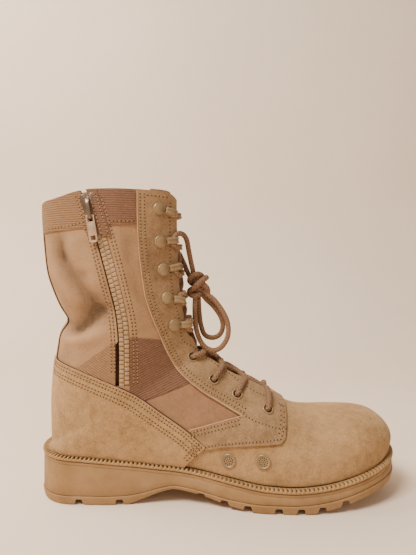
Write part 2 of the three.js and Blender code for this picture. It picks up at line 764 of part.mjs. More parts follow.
// Slider and tab share a frame: origin on the tab's pivot, x across the zip, y up along it,
// z out of the boot.
const SLIDER_PLACE = { x: 14, z: 230 };
const ZIP_LEAN = 0.16; // the slider's lean to the rear, in radians
const PIVOT_LIFT = 5; // pivot above the canvas
const TAB_BAR = 1.3;
const TAB_WIDTH = 6.6;
const TAB_LENGTH = 21;
const TAB_SHEET = 1.2;
const TAB_SLOT = 4.6;

const zipAcross = new THREE.Vector3(Math.cos(ZIP_LEAN), 0, Math.sin(ZIP_LEAN));
const zipUp = new THREE.Vector3(-Math.sin(ZIP_LEAN), 0, Math.cos(ZIP_LEAN));
const zipOut = new THREE.Vector3(0, -1, 0);
const PIVOT = surfaceAt(SLIDER_PLACE, -1).point.clone().addScaledVector(zipOut, PIVOT_LIFT);
const ZIP_FRAME = new THREE.Matrix4().makeBasis(zipAcross, zipUp, zipOut).setPosition(PIVOT);

function box(xFrom, xTo, yFrom, yTo, zFrom, zTo) {
  const geometry = new THREE.BoxGeometry(xTo - xFrom, yTo - yFrom, zTo - zFrom);
  geometry.translate((xFrom + xTo) / 2, (yFrom + yTo) / 2, (zFrom + zTo) / 2);
  return solidOf(geometry);
}

function slider() {
  const plate = new THREE.Shape();
  plate.moveTo(-2.6, -1.5);
  plate.lineTo(2.6, -1.5);
  plate.lineTo(6.3, 13);
  plate.lineTo(5.2, 18.5);
  plate.lineTo(-5.2, 18.5);
  plate.lineTo(-6.3, 13);
  plate.closePath();
  const face = new THREE.ExtrudeGeometry(plate, { depth: 1.6, bevelEnabled: false });
  face.translate(0, 0, -PIVOT_LIFT + 1.4);
  const strapTop = TAB_BAR / 2 + 0.6;
  const strap = box(-1.5, 1.5, -1.5, 13, strapTop, strapTop + 1);
  const foot = -PIVOT_LIFT + 2.4;
  const lowerLeg = box(-1.5, 1.5, -2.4, -1.3, foot, strapTop + 1);
  const upperLeg = box(-1.5, 1.5, 11, 14, foot, strapTop + 1);
  const heel = box(-2.4, 2.4, -2.4, 1, foot - 0.8, foot + 0.2);
  return solidOf(face).add(strap).add(lowerLeg).add(upperLeg).add(heel);
}

function tab() {
  const side = TAB_WIDTH / 2;
  const round = 1.4;
  const outline = new THREE.Shape();
  outline.moveTo(-side, TAB_BAR / 2);
  outline.lineTo(-side, -TAB_LENGTH + round);
  outline.lineTo(-side + round, -TAB_LENGTH);
  outline.lineTo(side - round, -TAB_LENGTH);
  outline.lineTo(side, -TAB_LENGTH + round);
  outline.lineTo(side, TAB_BAR / 2);
  outline.closePath();
  const slot = (half, from, to) => {
    const hole = new THREE.Path();
    hole.moveTo(-half, from);
    hole.lineTo(half, from);
    hole.lineTo(half, to);
    hole.lineTo(-half, to);
    hole.closePath();
    return hole;
  };
  outline.holes.push(slot(2.1, -TAB_BAR / 2, -TAB_SLOT));
  outline.holes.push(slot(1.9, -TAB_LENGTH + 5.4, -TAB_LENGTH + 1.8));
  const sheet = new THREE.ExtrudeGeometry(outline, { depth: TAB_SHEET, bevelEnabled: false });
  return solidOf(sheet.translate(0, 0, -TAB_SHEET / 2));
}

// ---------------------------------------------------------------- lace
const CORD_SIDES = 8;

function cord(points, radius, steps) {
  const path = new THREE.CatmullRomCurve3(points.map((p) => new THREE.Vector3(...p)));
  const section = new THREE.Shape();
  for (let i = 0; i < CORD_SIDES; i += 1) {
    const turn = (2 * Math.PI * i) / CORD_SIDES;
    const [x, y] = [radius * Math.cos(turn), radius * Math.sin(turn)];
    if (i === 0) section.moveTo(x, y);
    else section.lineTo(x, y);
  }
  section.closePath();
  return solidOf(new THREE.ExtrudeGeometry(section, { steps, extrudePath: path }));
}

// One crossing in the throat: two bars joined where they meet, arched over the tongue.
function crossing(low, high, half, rise) {
  const middle = { x: (low.x + high.x) / 2 + rise.x, z: (low.z + high.z) / 2 + rise.z };
  const bar = (sign) =>
    cord(
      [
        [low.x, -sign * half, low.z],
        [middle.x, 0, middle.z],
        [high.x, sign * half, high.z],
      ],
      LACE / 2,
      3,
    );
  return bar(1).add(bar(-1));
}

// Crossings sit in the opening, between the facings' edges: lower and upper end, half width.
const CROSSINGS = [
  { low: { x: 155.5, z: 84.6 }, high: { x: 141, z: 93.6 }, half: 4.4 },
  { low: { x: 134, z: 97.6 }, high: { x: 122, z: 105.5 }, half: 5 },
  { low: { x: 115.6, z: 109.6 }, high: { x: 104.6, z: 119.4 }, half: 5.4 },
  { low: { x: 94, z: 125 }, high: { x: 87.4, z: 138 }, half: 6.4 },
  { low: { x: 86, z: 146 }, high: { x: 83.4, z: 160.5 }, half: 11 },
  { low: { x: 82.4, z: 168 }, high: { x: 81, z: 183 }, half: 12 },
  { low: { x: 80.6, z: 190 }, high: { x: 79, z: 203.4 }, half: 12 },
];

// Free stretches: three strands into the knot and the doubled loop below it.
const KNOT_CENTRE = new THREE.Vector3(97.1, 0, 175.6);
const STRAND_HIGH = [
  [80.2, -22.6, 216.4],
  [84.2, -15.5, 218.6],
  [88, -9.5, 215],
  [90, -6.5, 205.5],
  [91.8, -4.3, 196],
  [93.4, -2.6, 188.2],
];
const STRAND_LOW = [
  [80.5, 19, 203.5],
  [83.5, 13.5, 197.5],
  [86.6, 8.8, 191],
  [89.6, 4.9, 184.4],
];
const LOOP_OUTER = [
  [95.6, -4.4, 163],
  [95.4, -6, 150],
  [97.2, -7.6, 135],
  [102.8, -8.8, 123.6],
  [111, -9.2, 119.4],
  [118.8, -8.6, 122.8],
  [124, -7.4, 133],
  [122.4, -6, 146.4],
  [112.8, -4.6, 161.6],
  [106, -4, 167.4],
];
const LOOP_INNER = [
  [98.4, 2.2, 162.6],
  [99.2, 2.6, 149],
  [100.6, 2.8, 139.5],
  [103.9, 3, 131.2],
  [110.4, 3, 128.6],
  [116.9, 3, 131.2],
  [119.8, 2.8, 138.5],
  [118.2, 2.7, 146.5],
  [112, 2.4, 156],
  [104.8, 2.2, 163],
];

function knot() {
  const ball = new THREE.SphereGeometry(1, 10, 7);
  ball.scale(7.6, 6.8, 11.4);
  ball.rotateY(-0.25);
  return solidOf(ball.translate(KNOT_CENTRE.x, KNOT_CENTRE.y, KNOT_CENTRE.z));
}

// ---------------------------------------------------------------- assembly
const FINISHES = {
  suede: { color: 0xaf8e6b, roughness: 0.95, metalness: 0 },
  canvas: { color: 0xb4896d, roughness: 0.9, metalness: 0 },
  webbing: { color: 0x93694f, roughness: 0.9, metalness: 0 },
  rubber: { color: 0xa27f5b, roughness: 0.7, metalness: 0 },
  foam: { color: 0x6e5a49, roughness: 0.9, metalness: 0 },
  painted: { color: 0xb39a76, roughness: 0.5, metalness: 0.2 },
  lace: { color: 0x9a7355, roughness: 0.8, metalness: 0 },
};

const boot = new THREE.Group();

function addPiece(name, finish, shape) {
  const geometry = shape.isBufferGeometry ? shape : geometryOf(shape);
  const material = new THREE.MeshStandardMaterial(FINISHES[finish]);
  const mesh = new THREE.Mesh(geometry, material);
  mesh.name = name;
  boot.add(mesh);
  return mesh;
}

addPiece("outsole", "rubber", outsole());
addPiece("midsole", "rubber", midsole());
addPiece("welt", "rubber", welt());
addPiece("insole", "foam", insole());
addPiece("upper", "canvas", upper());
addPiece("counter", "suede", counter());
addPiece("tongue", "suede", tongue());
SIDES.forEach(({ name, sign }) => {
  addPiece(`eyestay_${name}`, "suede", eyestay(sign));
  EYELETS.forEach((place, i) => {
    addPiece(`eyelet_${name}_${i + 1}`, "painted", eyelet(place, sign));
  });
  HOOKS.forEach((place, i) => {
    addPiece(`hook_${name}_${i + 1}`, "painted", hook(place, sign));
  });
});
VENTS.forEach((place, i) => addPiece(`vent_${i + 1}`, "painted", vent(place)));
addPiece("zip_tape", "webbing", zipTape());
addPiece("zip_chain", "foam", zipChain());
addPiece("zip_slider", "painted", slider()).applyMatrix4(ZIP_FRAME);
addPiece("zip_pull", "painted", tab()).applyMatrix4(ZIP_FRAME);
CROSSINGS.forEach((row, i) => {
  const shape = crossing(row.low, row.high, row.half, { x: 1.2, z: 0.8 });
  addPiece(`lace_cross_${i + 1}`, "lace", shape);
});
addPiece("lace_strand_high", "lace", cord(STRAND_HIGH, LACE / 2, 7));
addPiece("lace_strand_low", "lace", cord(STRAND_LOW, LACE / 2, 4));
addPiece("lace_knot", "lace", knot());
addPiece("lace_loop_outer", "lace", cord(LOOP_OUTER, LACE / 2, 16));
addPiece("lace_loop_inner", "lace", cord(LOOP_INNER, LACE / 2, 13));

export default boot;
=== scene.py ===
"""A left combat boot of suede and canvas with a side zip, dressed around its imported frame."""

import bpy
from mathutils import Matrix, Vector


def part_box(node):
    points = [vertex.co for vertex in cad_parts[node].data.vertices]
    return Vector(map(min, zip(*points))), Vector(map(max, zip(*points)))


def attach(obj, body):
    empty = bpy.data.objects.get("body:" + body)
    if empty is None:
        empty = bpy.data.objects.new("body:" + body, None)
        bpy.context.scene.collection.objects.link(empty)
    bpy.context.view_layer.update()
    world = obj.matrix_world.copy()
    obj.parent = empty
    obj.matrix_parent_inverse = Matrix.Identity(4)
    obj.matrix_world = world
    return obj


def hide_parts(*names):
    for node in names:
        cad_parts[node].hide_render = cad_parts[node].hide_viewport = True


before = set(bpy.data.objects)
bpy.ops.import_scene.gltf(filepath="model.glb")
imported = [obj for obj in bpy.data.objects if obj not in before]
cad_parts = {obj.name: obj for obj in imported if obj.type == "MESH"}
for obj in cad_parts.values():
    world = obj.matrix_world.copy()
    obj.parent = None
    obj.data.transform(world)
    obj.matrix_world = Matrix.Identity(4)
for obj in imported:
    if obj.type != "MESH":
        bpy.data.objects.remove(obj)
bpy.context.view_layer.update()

import logging
from bisect import bisect_right
from dataclasses import dataclass
from enum import Enum
from math import cos, dist, exp, hypot, pi, radians, sin
from typing import Callable, Iterable, Sequence

import bmesh
import bpy
from mathutils import Matrix, Vector
from mathutils.bvhtree import BVHTree

LOG = logging.getLogger("boot")
MM = 0.001
Point2 = tuple[float, float]
Points = Sequence[Sequence[float]]
Object = bpy.types.Object
Material = bpy.types.Material
Tree = bpy.types.NodeTree


class Side(Enum):
    """The boot's two sides; the value is the sign of Y."""

    MEDIAL = -1
    LATERAL = 1

    @property
    def label(self) -> str:
        """The side's name as the pieces carry it."""
        return self.name.lower()

    @property
    def other(self) -> "Side":
        """The side across the boot."""
        return Side(-self.value)


class Slot(Enum):
    """Material slots of the part's record."""

    SUEDE = "suede"
    CANVAS = "canvas"
    WEBBING = "webbing"
    RUBBER = "rubber"
    LINING = "lining"
    PAINTED = "painted"
    TEETH = "teeth"
    LACE = "lace"


class Pattern(Enum):
    """Surface patterns, each made by one shader node group."""

    NAP = "nap"
    WEAVE = "weave"
    RIBS = "ribs"
    GRAIN = "grain"
    BRAID = "braid"


# --- lines and tables
class Curve:
    """A smooth line through given values that never overshoots them."""

    def __init__(self, places: Sequence[float], values: Sequence[float]) -> None:
        """Fits the line.

        Args:
            places: rising places along the line.
            values: value at each place.
        """
        self.places, self.values = list(places), list(values)
        steps = [
            (b - a) / (q - p)
            for a, b, p, q in zip(values, values[1:], places, places[1:])
        ]
        inner = [2 * a * b / (a + b) if a * b > 0 else 0.0 for a, b in zip(steps, steps[1:])]
        self.slopes = [steps[0], *inner, steps[-1]]

    def at(self, place: float) -> float:
        """Reads the line.

        Args:
            place: where to read; held at the ends.

        Returns:
            The value there.
        """
        p, v, m = self.places, self.values, self.slopes
        if place <= p[0]:
            return v[0]
        if place >= p[-1]:
            return v[-1]
        i = bisect_right(p, place) - 1
        h = p[i + 1] - p[i]
        t = (place - p[i]) / h
        return (
            v[i] * (1 + 2 * t) * (1 - t) ** 2
            + m[i] * h * t * (1 - t) ** 2
            + v[i + 1] * t * t * (3 - 2 * t)
            + m[i + 1] * h * t * t * (t - 1)
        )


def table(rows: Points, column: int) -> Curve:
    """One column of a table whose first column holds the places."""
    return Curve([row[0] for row in rows], [row[column] for row in rows])


def lengths(points: Points) -> list[float]:
    """Running length at each point of a line, starting at 0."""
    total, out = 0.0, [0.0]
    for a, b in zip(points, points[1:]):
        total += dist(a, b)
        out.append(total)
    return out


def smooth_line(points: Points, step: float) -> list[tuple[float, ...]]:
    """Rounds a line of few points into one of many.

    Args:
        points: points in two or three dimensions.
        step: spacing of the result, in the points' unit.

    Returns:
        Points on a smooth line through all of the given ones.
    """
    ends = [
        tuple(2 * a - b for a, b in zip(points[0], points[1])),
        tuple(2 * a - b for a, b in zip(points[-1], points[-2])),
    ]
    line = [ends[0], *[tuple(p) for p in points], ends[1]]
    out = []
    for a, b, c, d in zip(line, line[1:], line[2:], line[3:]):
        count = max(2, round(dist(b, c) / step))
        reach = dist(b, c)
        first = [(q - o) / max(dist(a, c), 1e-9) * reach for o, q in zip(a, c)]
        last = [(q - o) / max(dist(b, d), 1e-9) * reach for o, q in zip(b, d)]
        for k in range(count):
            t = k / count
            out.append(
                tuple(
                    p * (1 + 2 * t) * (1 - t) ** 2
                    + m * t * (1 - t) ** 2
                    + q * t * t * (3 - 2 * t)
                    + n * t * t * (t - 1)
                    for p, q, m, n in zip(b, c, first, last)
                )
            )
    out.append(tuple(points[-1]))
    return out


def even_line(points: Points, pitch: float) -> list[tuple[float, ...]]:
    """The same line with points a pitch apart, as near as its length allows."""
    run = lengths(points)
    count = max(1, round(run[-1] / pitch))
    out, i = [], 0
    for k in range(count + 1):
        goal = run[-1] * k / count
        while i < len(run) - 2 and run[i + 1] < goal:
            i += 1
        share = (goal - run[i]) / max(run[i + 1] - run[i], 1e-9)
        out.append(tuple(a + (b - a) * share for a, b in zip(points[i], points[i + 1])))
    return out


def beside(points: Sequence[Point2], distance: float) -> list[Point2]:
    """A side-view line moved to its left by a distance."""
    out = []
    for i, (x, z) in enumerate(points):
        a, b = points[max(i - 1, 0)], points[min(i + 1, len(points) - 1)]
        reach = dist(a, b) or 1.0
        out.append((x - (b[1] - a[1]) / reach * distance, z + (b[0] - a[0]) / reach * distance))
    return out


def arc(x: float, y: float, radius: float, start: float, end: float, steps: int) -> list[Point2]:
    """Points on a circle round (x, y), from one angle in degrees to another."""
    turns = (radians(start + (end - start) * k / steps) for k in range(steps + 1))
    return [(x + radius * cos(t), y + radius * sin(t)) for t in turns]


def inside(x: float, z: float, outline: Sequence[Point2]) -> bool:
    """Whether a side-view place is within a closed outline."""
    odd = False
    for (ax, az), (bx, bz) in zip(outline, [*outline[1:], outline[0]]):
        if (az > z) != (bz > z) and x < ax + (z - az) / (bz - az) * (bx - ax):
            odd = not odd
    return odd


def gap_to_line(x: float, z: float, line: Sequence[Point2]) -> tuple[float, float]:
    """Distance to a side-view line, and the share along it of the nearest place."""
    best, share = 1e9, 0.0
    for i, ((ax, az), (bx, bz)) in enumerate(zip(line, line[1:])):
        dx, dz = bx - ax, bz - az
        t = min(max(((x - ax) * dx + (z - az) * dz) / (dx * dx + dz * dz), 0.0), 1.0)
        away = hypot(x - ax - dx * t, z - az - dz * t)
        if away < best:
            best, share = away, (i + t) / (len(line) - 1)
    return best, share


# --- mesh tools
def lone(obj: Object) -> Object:
    """Deselects everything, then selects and activates one object."""
    bpy.ops.object.select_all(action="DESELECT")
    obj.select_set(True)
    bpy.context.view_layer.objects.active = obj
    return obj


def linked(name: str, data: bpy.types.ID) -> Object:
    """A new object in the scene, with its mesh, lamp or camera."""
    obj = bpy.data.objects.new(name, data)
    bpy.context.collection.objects.link(obj)
    return obj


def mesh_piece(
    name: str,
    points: Iterable[Sequence[float]],
    faces: Iterable[Sequence[int]],
    materials: Sequence[Material] = (),
) -> Object:
    """A new mesh object in the frame.

    Args:
        name: the piece's name.
        points: vertices in millimetres.
        faces: vertex numbers of each face.
        materials: the mesh's materials.

    Returns:
        The object, in metres.
    """
    mesh = bpy.data.meshes.new(name)
    mesh.from_pydata([tuple(c * MM for c in p) for p in points], [], list(faces))
    for material in materials:
        mesh.materials.append(material)
    return linked(name, mesh)


def modify(obj: Object, kind: str, **settings: object) -> Object:
    """Adds a modifier with its settings and applies it."""
    lone(obj)
    made = obj.modifiers.new(kind.lower(), kind)
    for key, value in settings.items():
        setattr(made, key, value)
    bpy.ops.object.modifier_apply(modifier=made.name)
    return obj


def edit(obj: Object, *steps: Callable[[], object]) -> Object:
    """Runs edit-mode steps on the whole of one object."""
    lone(obj)
    bpy.ops.object.mode_set(mode="EDIT")
    bpy.ops.mesh.select_all(action="SELECT")
    for step in steps:
        step()
    bpy.ops.object.mode_set(mode="OBJECT")
    return obj


def tidy(obj: Object, gap: float = 0.01) -> Object:
    """Merges doubles closer than a gap in millimetres and turns the faces outward."""
    return edit(
        obj,
        lambda: bpy.ops.mesh.remove_doubles(threshold=gap * MM),
        lambda: bpy.ops.mesh.normals_make_consistent(inside=False),
    )


def cut(obj: Object, cutter: Object, operation: str = "DIFFERENCE") -> Object:
    """Cuts a piece with another solid, which is used up.

    Args:
        obj: the piece.
        cutter: a closed solid; its material goes to the cut faces.
        operation: DIFFERENCE, INTERSECT or UNION.

    Returns:
        The piece.
    """
    modify(
        obj, "BOOLEAN", solver="EXACT", operation=operation, object=cutter, material_mode="TRANSFER"
    )
    bpy.data.meshes.remove(cutter.data)
    return obj


def prism(outline: Sequence[Point2], low: float, high: float, material: Material) -> Object:
    """A solid with a side-view outline between two values of Y, all in millimetres."""
    count = len(outline)
    points = [(x, y, z) for y in (low, high) for x, z in outline]
    faces = [list(range(count)), list(range(2 * count - 1, count - 1, -1))]
    faces += [(i, count + i, count + (i + 1) % count, (i + 1) % count) for i in range(count)]
    return tidy(mesh_piece("cutter", points, faces, [material]))


def ring_faces(rings: int, count: int, closed: bool = False) -> list[Sequence[int]]:
    """Quads between rings of equal length; closed joins the last ring to the first."""
    corners = ((0, 0), (0, 1), (1, 1), (1, 0))
    return [
        tuple(((r + up) * count + (k + on) % count) % (rings * count) for up, on in corners)
        for r in range(rings if closed else rings - 1)
        for k in range(count)
    ]


def loft(name: str, rings: Sequence[Points], material: Material) -> Object:
    """A closed solid through rings of equal length, capped at both ends."""
    count = len(rings[0])
    points = [p for ring in rings for p in ring]
    faces = ring_faces(len(rings), count)
    faces += [list(range(count - 1, -1, -1)), [len(points) - count + i for i in range(count)]]
    return tidy(mesh_piece(name, points, faces, [material]))


def turned(name: str, profile: Sequence[Point2], steps: int, material: Material) -> Object:
    """A turned piece: a profile of radius and height, spun round Z."""
    mesh = bpy.data.meshes.new(name)
    points = [(r * MM, 0.0, h * MM) for r, h in profile]
    mesh.from_pydata(points, [(i, i + 1) for i in range(len(points) - 1)], [])
    mesh.materials.append(material)
    spin = {"steps": steps, "angle": 2 * pi, "center": (0, 0, 0), "axis": (0, 0, 1)}
    return tidy(edit(linked(name, mesh), lambda: bpy.ops.mesh.spin(**spin)))


def extruded(
    name: str, outline: Sequence[Point2], low: float, high: float, bevel: float, material: Material
) -> Object:
    """A plate cut to an outline in X and Y, extruded along Z and bevelled."""
    points = [(x, y, low) for x, y in outline]
    obj = mesh_piece(name, points, [list(range(len(points)))], [material])
    edit(
        obj,
        lambda: bpy.ops.mesh.extrude_region_move(
            TRANSFORM_OT_translate={"value": (0, 0, (high - low) * MM)}
        ),
    )
    tidy(obj)
    if bevel:
        modify(obj, "BEVEL", width=bevel * MM, segments=2, limit_method="ANGLE", angle_limit=0.6)
    return obj


def join(name: str, parts: Sequence[Object]) -> Object:
    """Joins objects into one named mesh."""
    lone(parts[0])
    for part in parts:
        part.select_set(True)
    bpy.ops.object.join()
    parts[0].name = parts[0].data.name = name
    return parts[0]


def copied(name: str, source: Object, place: Matrix) -> Object:
    """A copy with its own mesh, moved by a matrix in metres."""
    mesh = source.data.copy()
    mesh.transform(place)
    mesh.name = name
    return linked(name, mesh)


def drop(obj: Object) -> None:
    """Removes an object and its mesh."""
    bpy.data.meshes.remove(obj.data)


def smooth(obj: Object, degrees: float = 40) -> Object:
    """Shades a piece smooth except across sharper edges than an angle."""
    lone(obj)
    bpy.ops.object.shade_smooth_by_angle(angle=radians(degrees))
    return obj


def frame_of(point: Vector, out: Vector, ahead: Vector) -> Matrix:
    """A matrix whose Z is out, whose X is ahead as near as it can be, placed at a point."""
    z = out.normalized()
    y = z.cross(ahead).normalized()
    x = y.cross(z)
    made = Matrix((x, y, z)).transposed().to_4x4()
    made.translation = point
    return made


def tube(
    name: str,
    path: Points,
    radius: float,
    sides: int,
    material: Material,
    lay: float = 11.0,
) -> Object:
    """A round cord along a path, with a UV map for its braid.

    Args:
        name: the piece's name.
        path: its centre line in millimetres.
        radius: the cord's radius in millimetres.
        sides: faces round it.
        material: its finish.
        lay: length of one repeat of the braid, in millimetres.

    Returns:
        The cord, with rounded ends.
    """
    line = [Vector(p) for p in path]
    run = lengths(path)
    points: list[Vector] = []
    heights: list[float] = []
    side = Vector((0, 0, 1)).cross(line[1] - line[0])
    if side.length < 1e-6:
        side = Vector((0, 1, 0))
    for i, centre in enumerate(line):
        along = (line[min(i + 1, len(line) - 1)] - line[max(i - 1, 0)]).normalized()
        side = (side - along * side.dot(along)).normalized()
        up = along.cross(side)
        ends = []
        if i == 0:
            ends = [(-0.9, 0.35), (-0.6, 0.8)]
        ends.append((0.0, 1.0))
        if i == len(line) - 1:
            ends += [(0.6, 0.8), (0.9, 0.35)]
        for back, share in ends:
            heights.append(run[i] + back * radius)
            for k in range(sides):
                turn = 2 * pi * k / sides
                reach = radius * share
                points.append(
                    centre
                    + along * back * radius
                    + side * cos(turn) * reach
                    + up * sin(turn) * reach
                )
    rings = len(heights)
    faces = ring_faces(rings, sides)
    faces += [tuple(range(sides - 1, -1, -1)), tuple((rings - 1) * sides + k for k in range(sides))]
    obj = mesh_piece(name, points, faces, [material])
    uv = obj.data.uv_layers.new(name="cord")
    for face in obj.data.polygons:
        for corner, vertex in zip(face.loop_indices, face.vertices):
            ring, k = divmod(vertex, sides)
            last = face.index < (rings - 1) * sides and face.index % sides == sides - 1
            wrap = 1.0 if last and k == 0 else 0.0
            uv.data[corner].uv = (k / sides + wrap, heights[ring] / lay)
    return smooth(obj, 60)


def finish_piece(obj: Object, nodes: Sequence[str] = (), body: str = "boot") -> Object:
    """Rides a piece on its body and hides the CAD nodes that it stands for."""
    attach(obj, body)
    if nodes:
        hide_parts(*nodes)
    LOG.info("%s: %d faces", obj.name, len(obj.data.polygons))
    return obj


# --- finishes
class Wiring:
    """Adds and links nodes in one shader tree."""

    def __init__(self, tree: Tree) -> None:
        """Starts on an empty tree."""
        self.tree = tree
        tree.nodes.clear()

    def add(self, kind: str, **settings: object) -> bpy.types.Node:
        """A new node with its properties set."""
        node = self.tree.nodes.new(kind)
        for key, value in settings.items():
            setattr(node, key, value)
        return node

    def join(self, source: object, target: object) -> None:
        """Links a socket to an input, or sets the input to a plain value."""
        if isinstance(source, bpy.types.NodeSocket):
            self.tree.links.new(source, target)
        else:
            target.default_value = source

    def math(self, operation: str, a: object, b: object = 0.0, c: object = 0.0) -> object:
        """A math node's result."""
        node = self.add("ShaderNodeMath", operation=operation)
        for value, socket in zip((a, b, c), node.inputs):
            self.join(value, socket)
        return node.outputs[0]

    def times(self, a: object, b: object) -> object:
        """A product."""
        return self.math("MULTIPLY", a, b)

    def times_add(self, a: object, b: object, c: object) -> object:
        """A product with a third value added."""
        return self.math("MULTIPLY_ADD", a, b, c)

    def parts(self, vector: object) -> list[object]:
        """A vector's three parts."""
        node = self.add("ShaderNodeSeparateXYZ")
        self.join(vector, node.inputs[0])
        return list(node.outputs)

    def effect(self, group: Tree, vector: object, scale: float) -> object:
        """An effect group's tone and height, as the outputs of its node."""
        node = self.add("ShaderNodeGroup", node_tree=group)
        self.join(vector, node.inputs["Vector"])
        node.inputs["Scale"].default_value = scale
        return node.outputs

    def noise(self, vector: object, scale: object, detail: float, rough: float = 0.5) -> object:
        """A noise texture's value."""
        node = self.add("ShaderNodeTexNoise")
        self.join(vector, node.inputs["Vector"])
        self.join(scale, node.inputs["Scale"])
        node.inputs["Detail"].default_value = detail
        node.inputs["Roughness"].default_value = rough
        return node.outputs["Fac"]

    def remap(
        self, value: object, low: float, high: float, to_low: float, to_high: float
    ) -> object:
        """A value moved from one range to another, and held inside it."""
        node = self.add("ShaderNodeMapRange")
        for number, socket in zip((value, low, high, to_low, to_high), node.inputs):
            self.join(number, socket)
        return node.outputs[0]

    def mix(self, share: object, a: object, b: object) -> object:
        """Two colours mixed by a share."""
        node = self.add("ShaderNodeMix", data_type="RGBA")
        self.join(share, node.inputs[0])
        self.join(a, node.inputs[6])
        self.join(b, node.inputs[7])
        return node.outputs[2]


def new_group(name: str) -> tuple[Tree, Wiring, object, object, object, object]:
    """An empty effect group with a vector and a scale going in, and a tone and a height out.

    Args:
        name: the group's name.

    Returns:
        The group, its wiring, its vector and scale sockets, and its two output sockets.
    """
    group = bpy.data.node_groups.new(name, "ShaderNodeTree")
    wiring = Wiring(group)
    for label, kind, way in (
        ("Vector", "NodeSocketVector", "INPUT"),
        ("Scale", "NodeSocketFloat", "INPUT"),
        ("Tone", "NodeSocketFloat", "OUTPUT"),
        ("Height", "NodeSocketFloat", "OUTPUT"),
    ):
        group.interface.new_socket(name=label, in_out=way, socket_type=kind)
    came, goes = wiring.add("NodeGroupInput"), wiring.add("NodeGroupOutput")
    return group, wiring, came.outputs[0], came.outputs[1], goes.inputs[0], goes.inputs[1]


def nap_group() -> Tree:
    """Suede: brushed blotches, mottling and a fine fibre."""
    group, w, vector, scale, tone, height = new_group("nap")
    fibre = w.noise(vector, scale, 5, 0.7)
    mottle = w.noise(vector, w.times(scale, 0.22), 4, 0.6)
    blotch = w.noise(vector, w.times(scale, 0.03), 3, 0.5)
    mixed = w.times_add(fibre, 0.42, w.times(mottle, 0.28))
    mixed = w.times_add(blotch, 0.3, mixed)
    w.join(w.remap(mixed, 0.36, 0.64, 0.0, 1.0), tone)
    w.join(w.times_add(mottle, 0.5, fibre), height)
    return group


def weave_group() -> Tree:
    """Plain woven cloth: two sets of threads that pass over and under each other."""
    group, w, vector, scale, tone, height = new_group("weave")
    split = w.parts(vector)
    waves = []
    for axis in (0, 1):
        turn = w.times(w.times(split[axis], scale), pi)
        waves.append(w.math("SINE", turn))
    over = w.math("GREATER_THAN", w.times(waves[0], waves[1]), 0.0)
    warp, weft = w.math("ABSOLUTE", waves[0]), w.math("ABSOLUTE", waves[1])
    rise = w.times_add(over, w.math("SUBTRACT", warp, weft), weft)
    slub = w.noise(vector, w.times(scale, 0.35), 3, 0.6)
    fade = w.noise(vector, w.times(scale, 0.03), 3, 0.5)
    mixed = w.times_add(rise, 0.22, w.times(slub, 0.35))
    mixed = w.times_add(fade, 0.55, mixed)
    w.join(w.remap(mixed, 0.34, 0.82, 0.0, 1.0), tone)
    w.join(w.times_add(slub, 0.3, rise), height)
    return group


def ribs_group() -> Tree:
    """Webbing: round ribs along X, one above the other in Z, with fine cross threads."""
    group, w, vector, scale, tone, height = new_group("ribs")
    split = w.parts(vector)
    wobble = w.noise(vector, w.times(scale, 0.12), 2)
    rib = w.times(w.times(split[2], scale), pi)
    rib = w.math("ABSOLUTE", w.math("SINE", w.times_add(wobble, 1.2, rib)))
    cross = w.times(w.times(split[0], scale), 1.7 * pi)
    cross = w.math("ABSOLUTE", w.math("SINE", cross))
    slub = w.noise(vector, w.times(scale, 0.6), 3, 0.6)
    rise = w.times_add(cross, 0.3, w.math("POWER", rib, 0.6))
    mixed = w.times_add(slub, 0.6, w.times(rise, 0.55))
    w.join(w.remap(mixed, 0.25, 1.05, 0.0, 1.0), tone)
    w.join(rise, height)
    return group


def grain_group() -> Tree:
    """Moulded rubber and enamel: a fine grain under broad handling marks."""
    group, w, vector, scale, tone, height = new_group("grain")
    fine = w.noise(vector, scale, 3, 0.6)
    marks = w.noise(vector, w.times(scale, 0.05), 4, 0.65)
    mixed = w.times_add(marks, 0.75, w.times(fine, 0.25))
    w.join(w.remap(mixed, 0.32, 0.68, 0.0, 1.0), tone)
    w.join(fine, height)
    return group


def braid_group() -> Tree:
    """Braided cord: strands that cross on the cord's own map."""
    group, w, vector, scale, tone, height = new_group("braid")
    split = w.parts(vector)
    round_turn = w.times(split[0], 4 * 2 * pi)
    along = w.times(w.times(split[1], scale), 2 * pi)
    right = w.math("SINE", w.math("ADD", round_turn, along))
    left = w.math("SINE", w.math("SUBTRACT", round_turn, along))
    rise = w.math("MAXIMUM", right, left)
    slub = w.noise(vector, 6.0, 3, 0.6)
    w.join(w.times_add(slub, 0.8, w.times(rise, 0.3)), tone)
    w.join(rise, height)
    return group


def dust_group() -> Tree:
    """Pale dust: more of it low down, in soft patches. The scale is its overall share."""
    group, w, vector, scale, tone, height = new_group("dust")
    split = w.parts(vector)
    low = w.remap(split[2], 0.0, 0.11, 1.0, 0.25)
    patch = w.remap(w.noise(vector, 24.0, 4, 0.6), 0.42, 0.7, 0.0, 1.0)
    w.join(w.times(w.times(low, patch), scale), tone)
    w.join(patch, height)
    return group


def fold_group() -> Tree:
    """Painted shade in fold hollows and painted highlight on rises, read from their own map."""
    group, w, vector, scale, tone, height = new_group("fold_shade")
    split = w.parts(vector)
    wobble = w.remap(w.noise(vector, 9.0, 3, 0.6), 0.3, 0.7, 0.7, 1.2)
    w.join(w.times(w.times(split[0], scale), wobble), tone)
    w.join(w.times(split[1], scale), height)
    return group


GROUPS = {
    Pattern.NAP: nap_group(),
    Pattern.WEAVE: weave_group(),
    Pattern.RIBS: ribs_group(),
    Pattern.GRAIN: grain_group(),
    Pattern.BRAID: braid_group(),
}
DUST = dust_group()
FOLDS = fold_group()
DUST_COLOUR = (0.44, 0.29, 0.165, 1.0)
SHEEN_COLOUR = (1.0, 0.74, 0.48, 1.0)
HOLLOW_SHADE = 0.42  # painted shade: share of the dark tone in the bottom of a fold
RISE_SHADE = 1.05  # painted highlight: share of the light tone on top of a rise
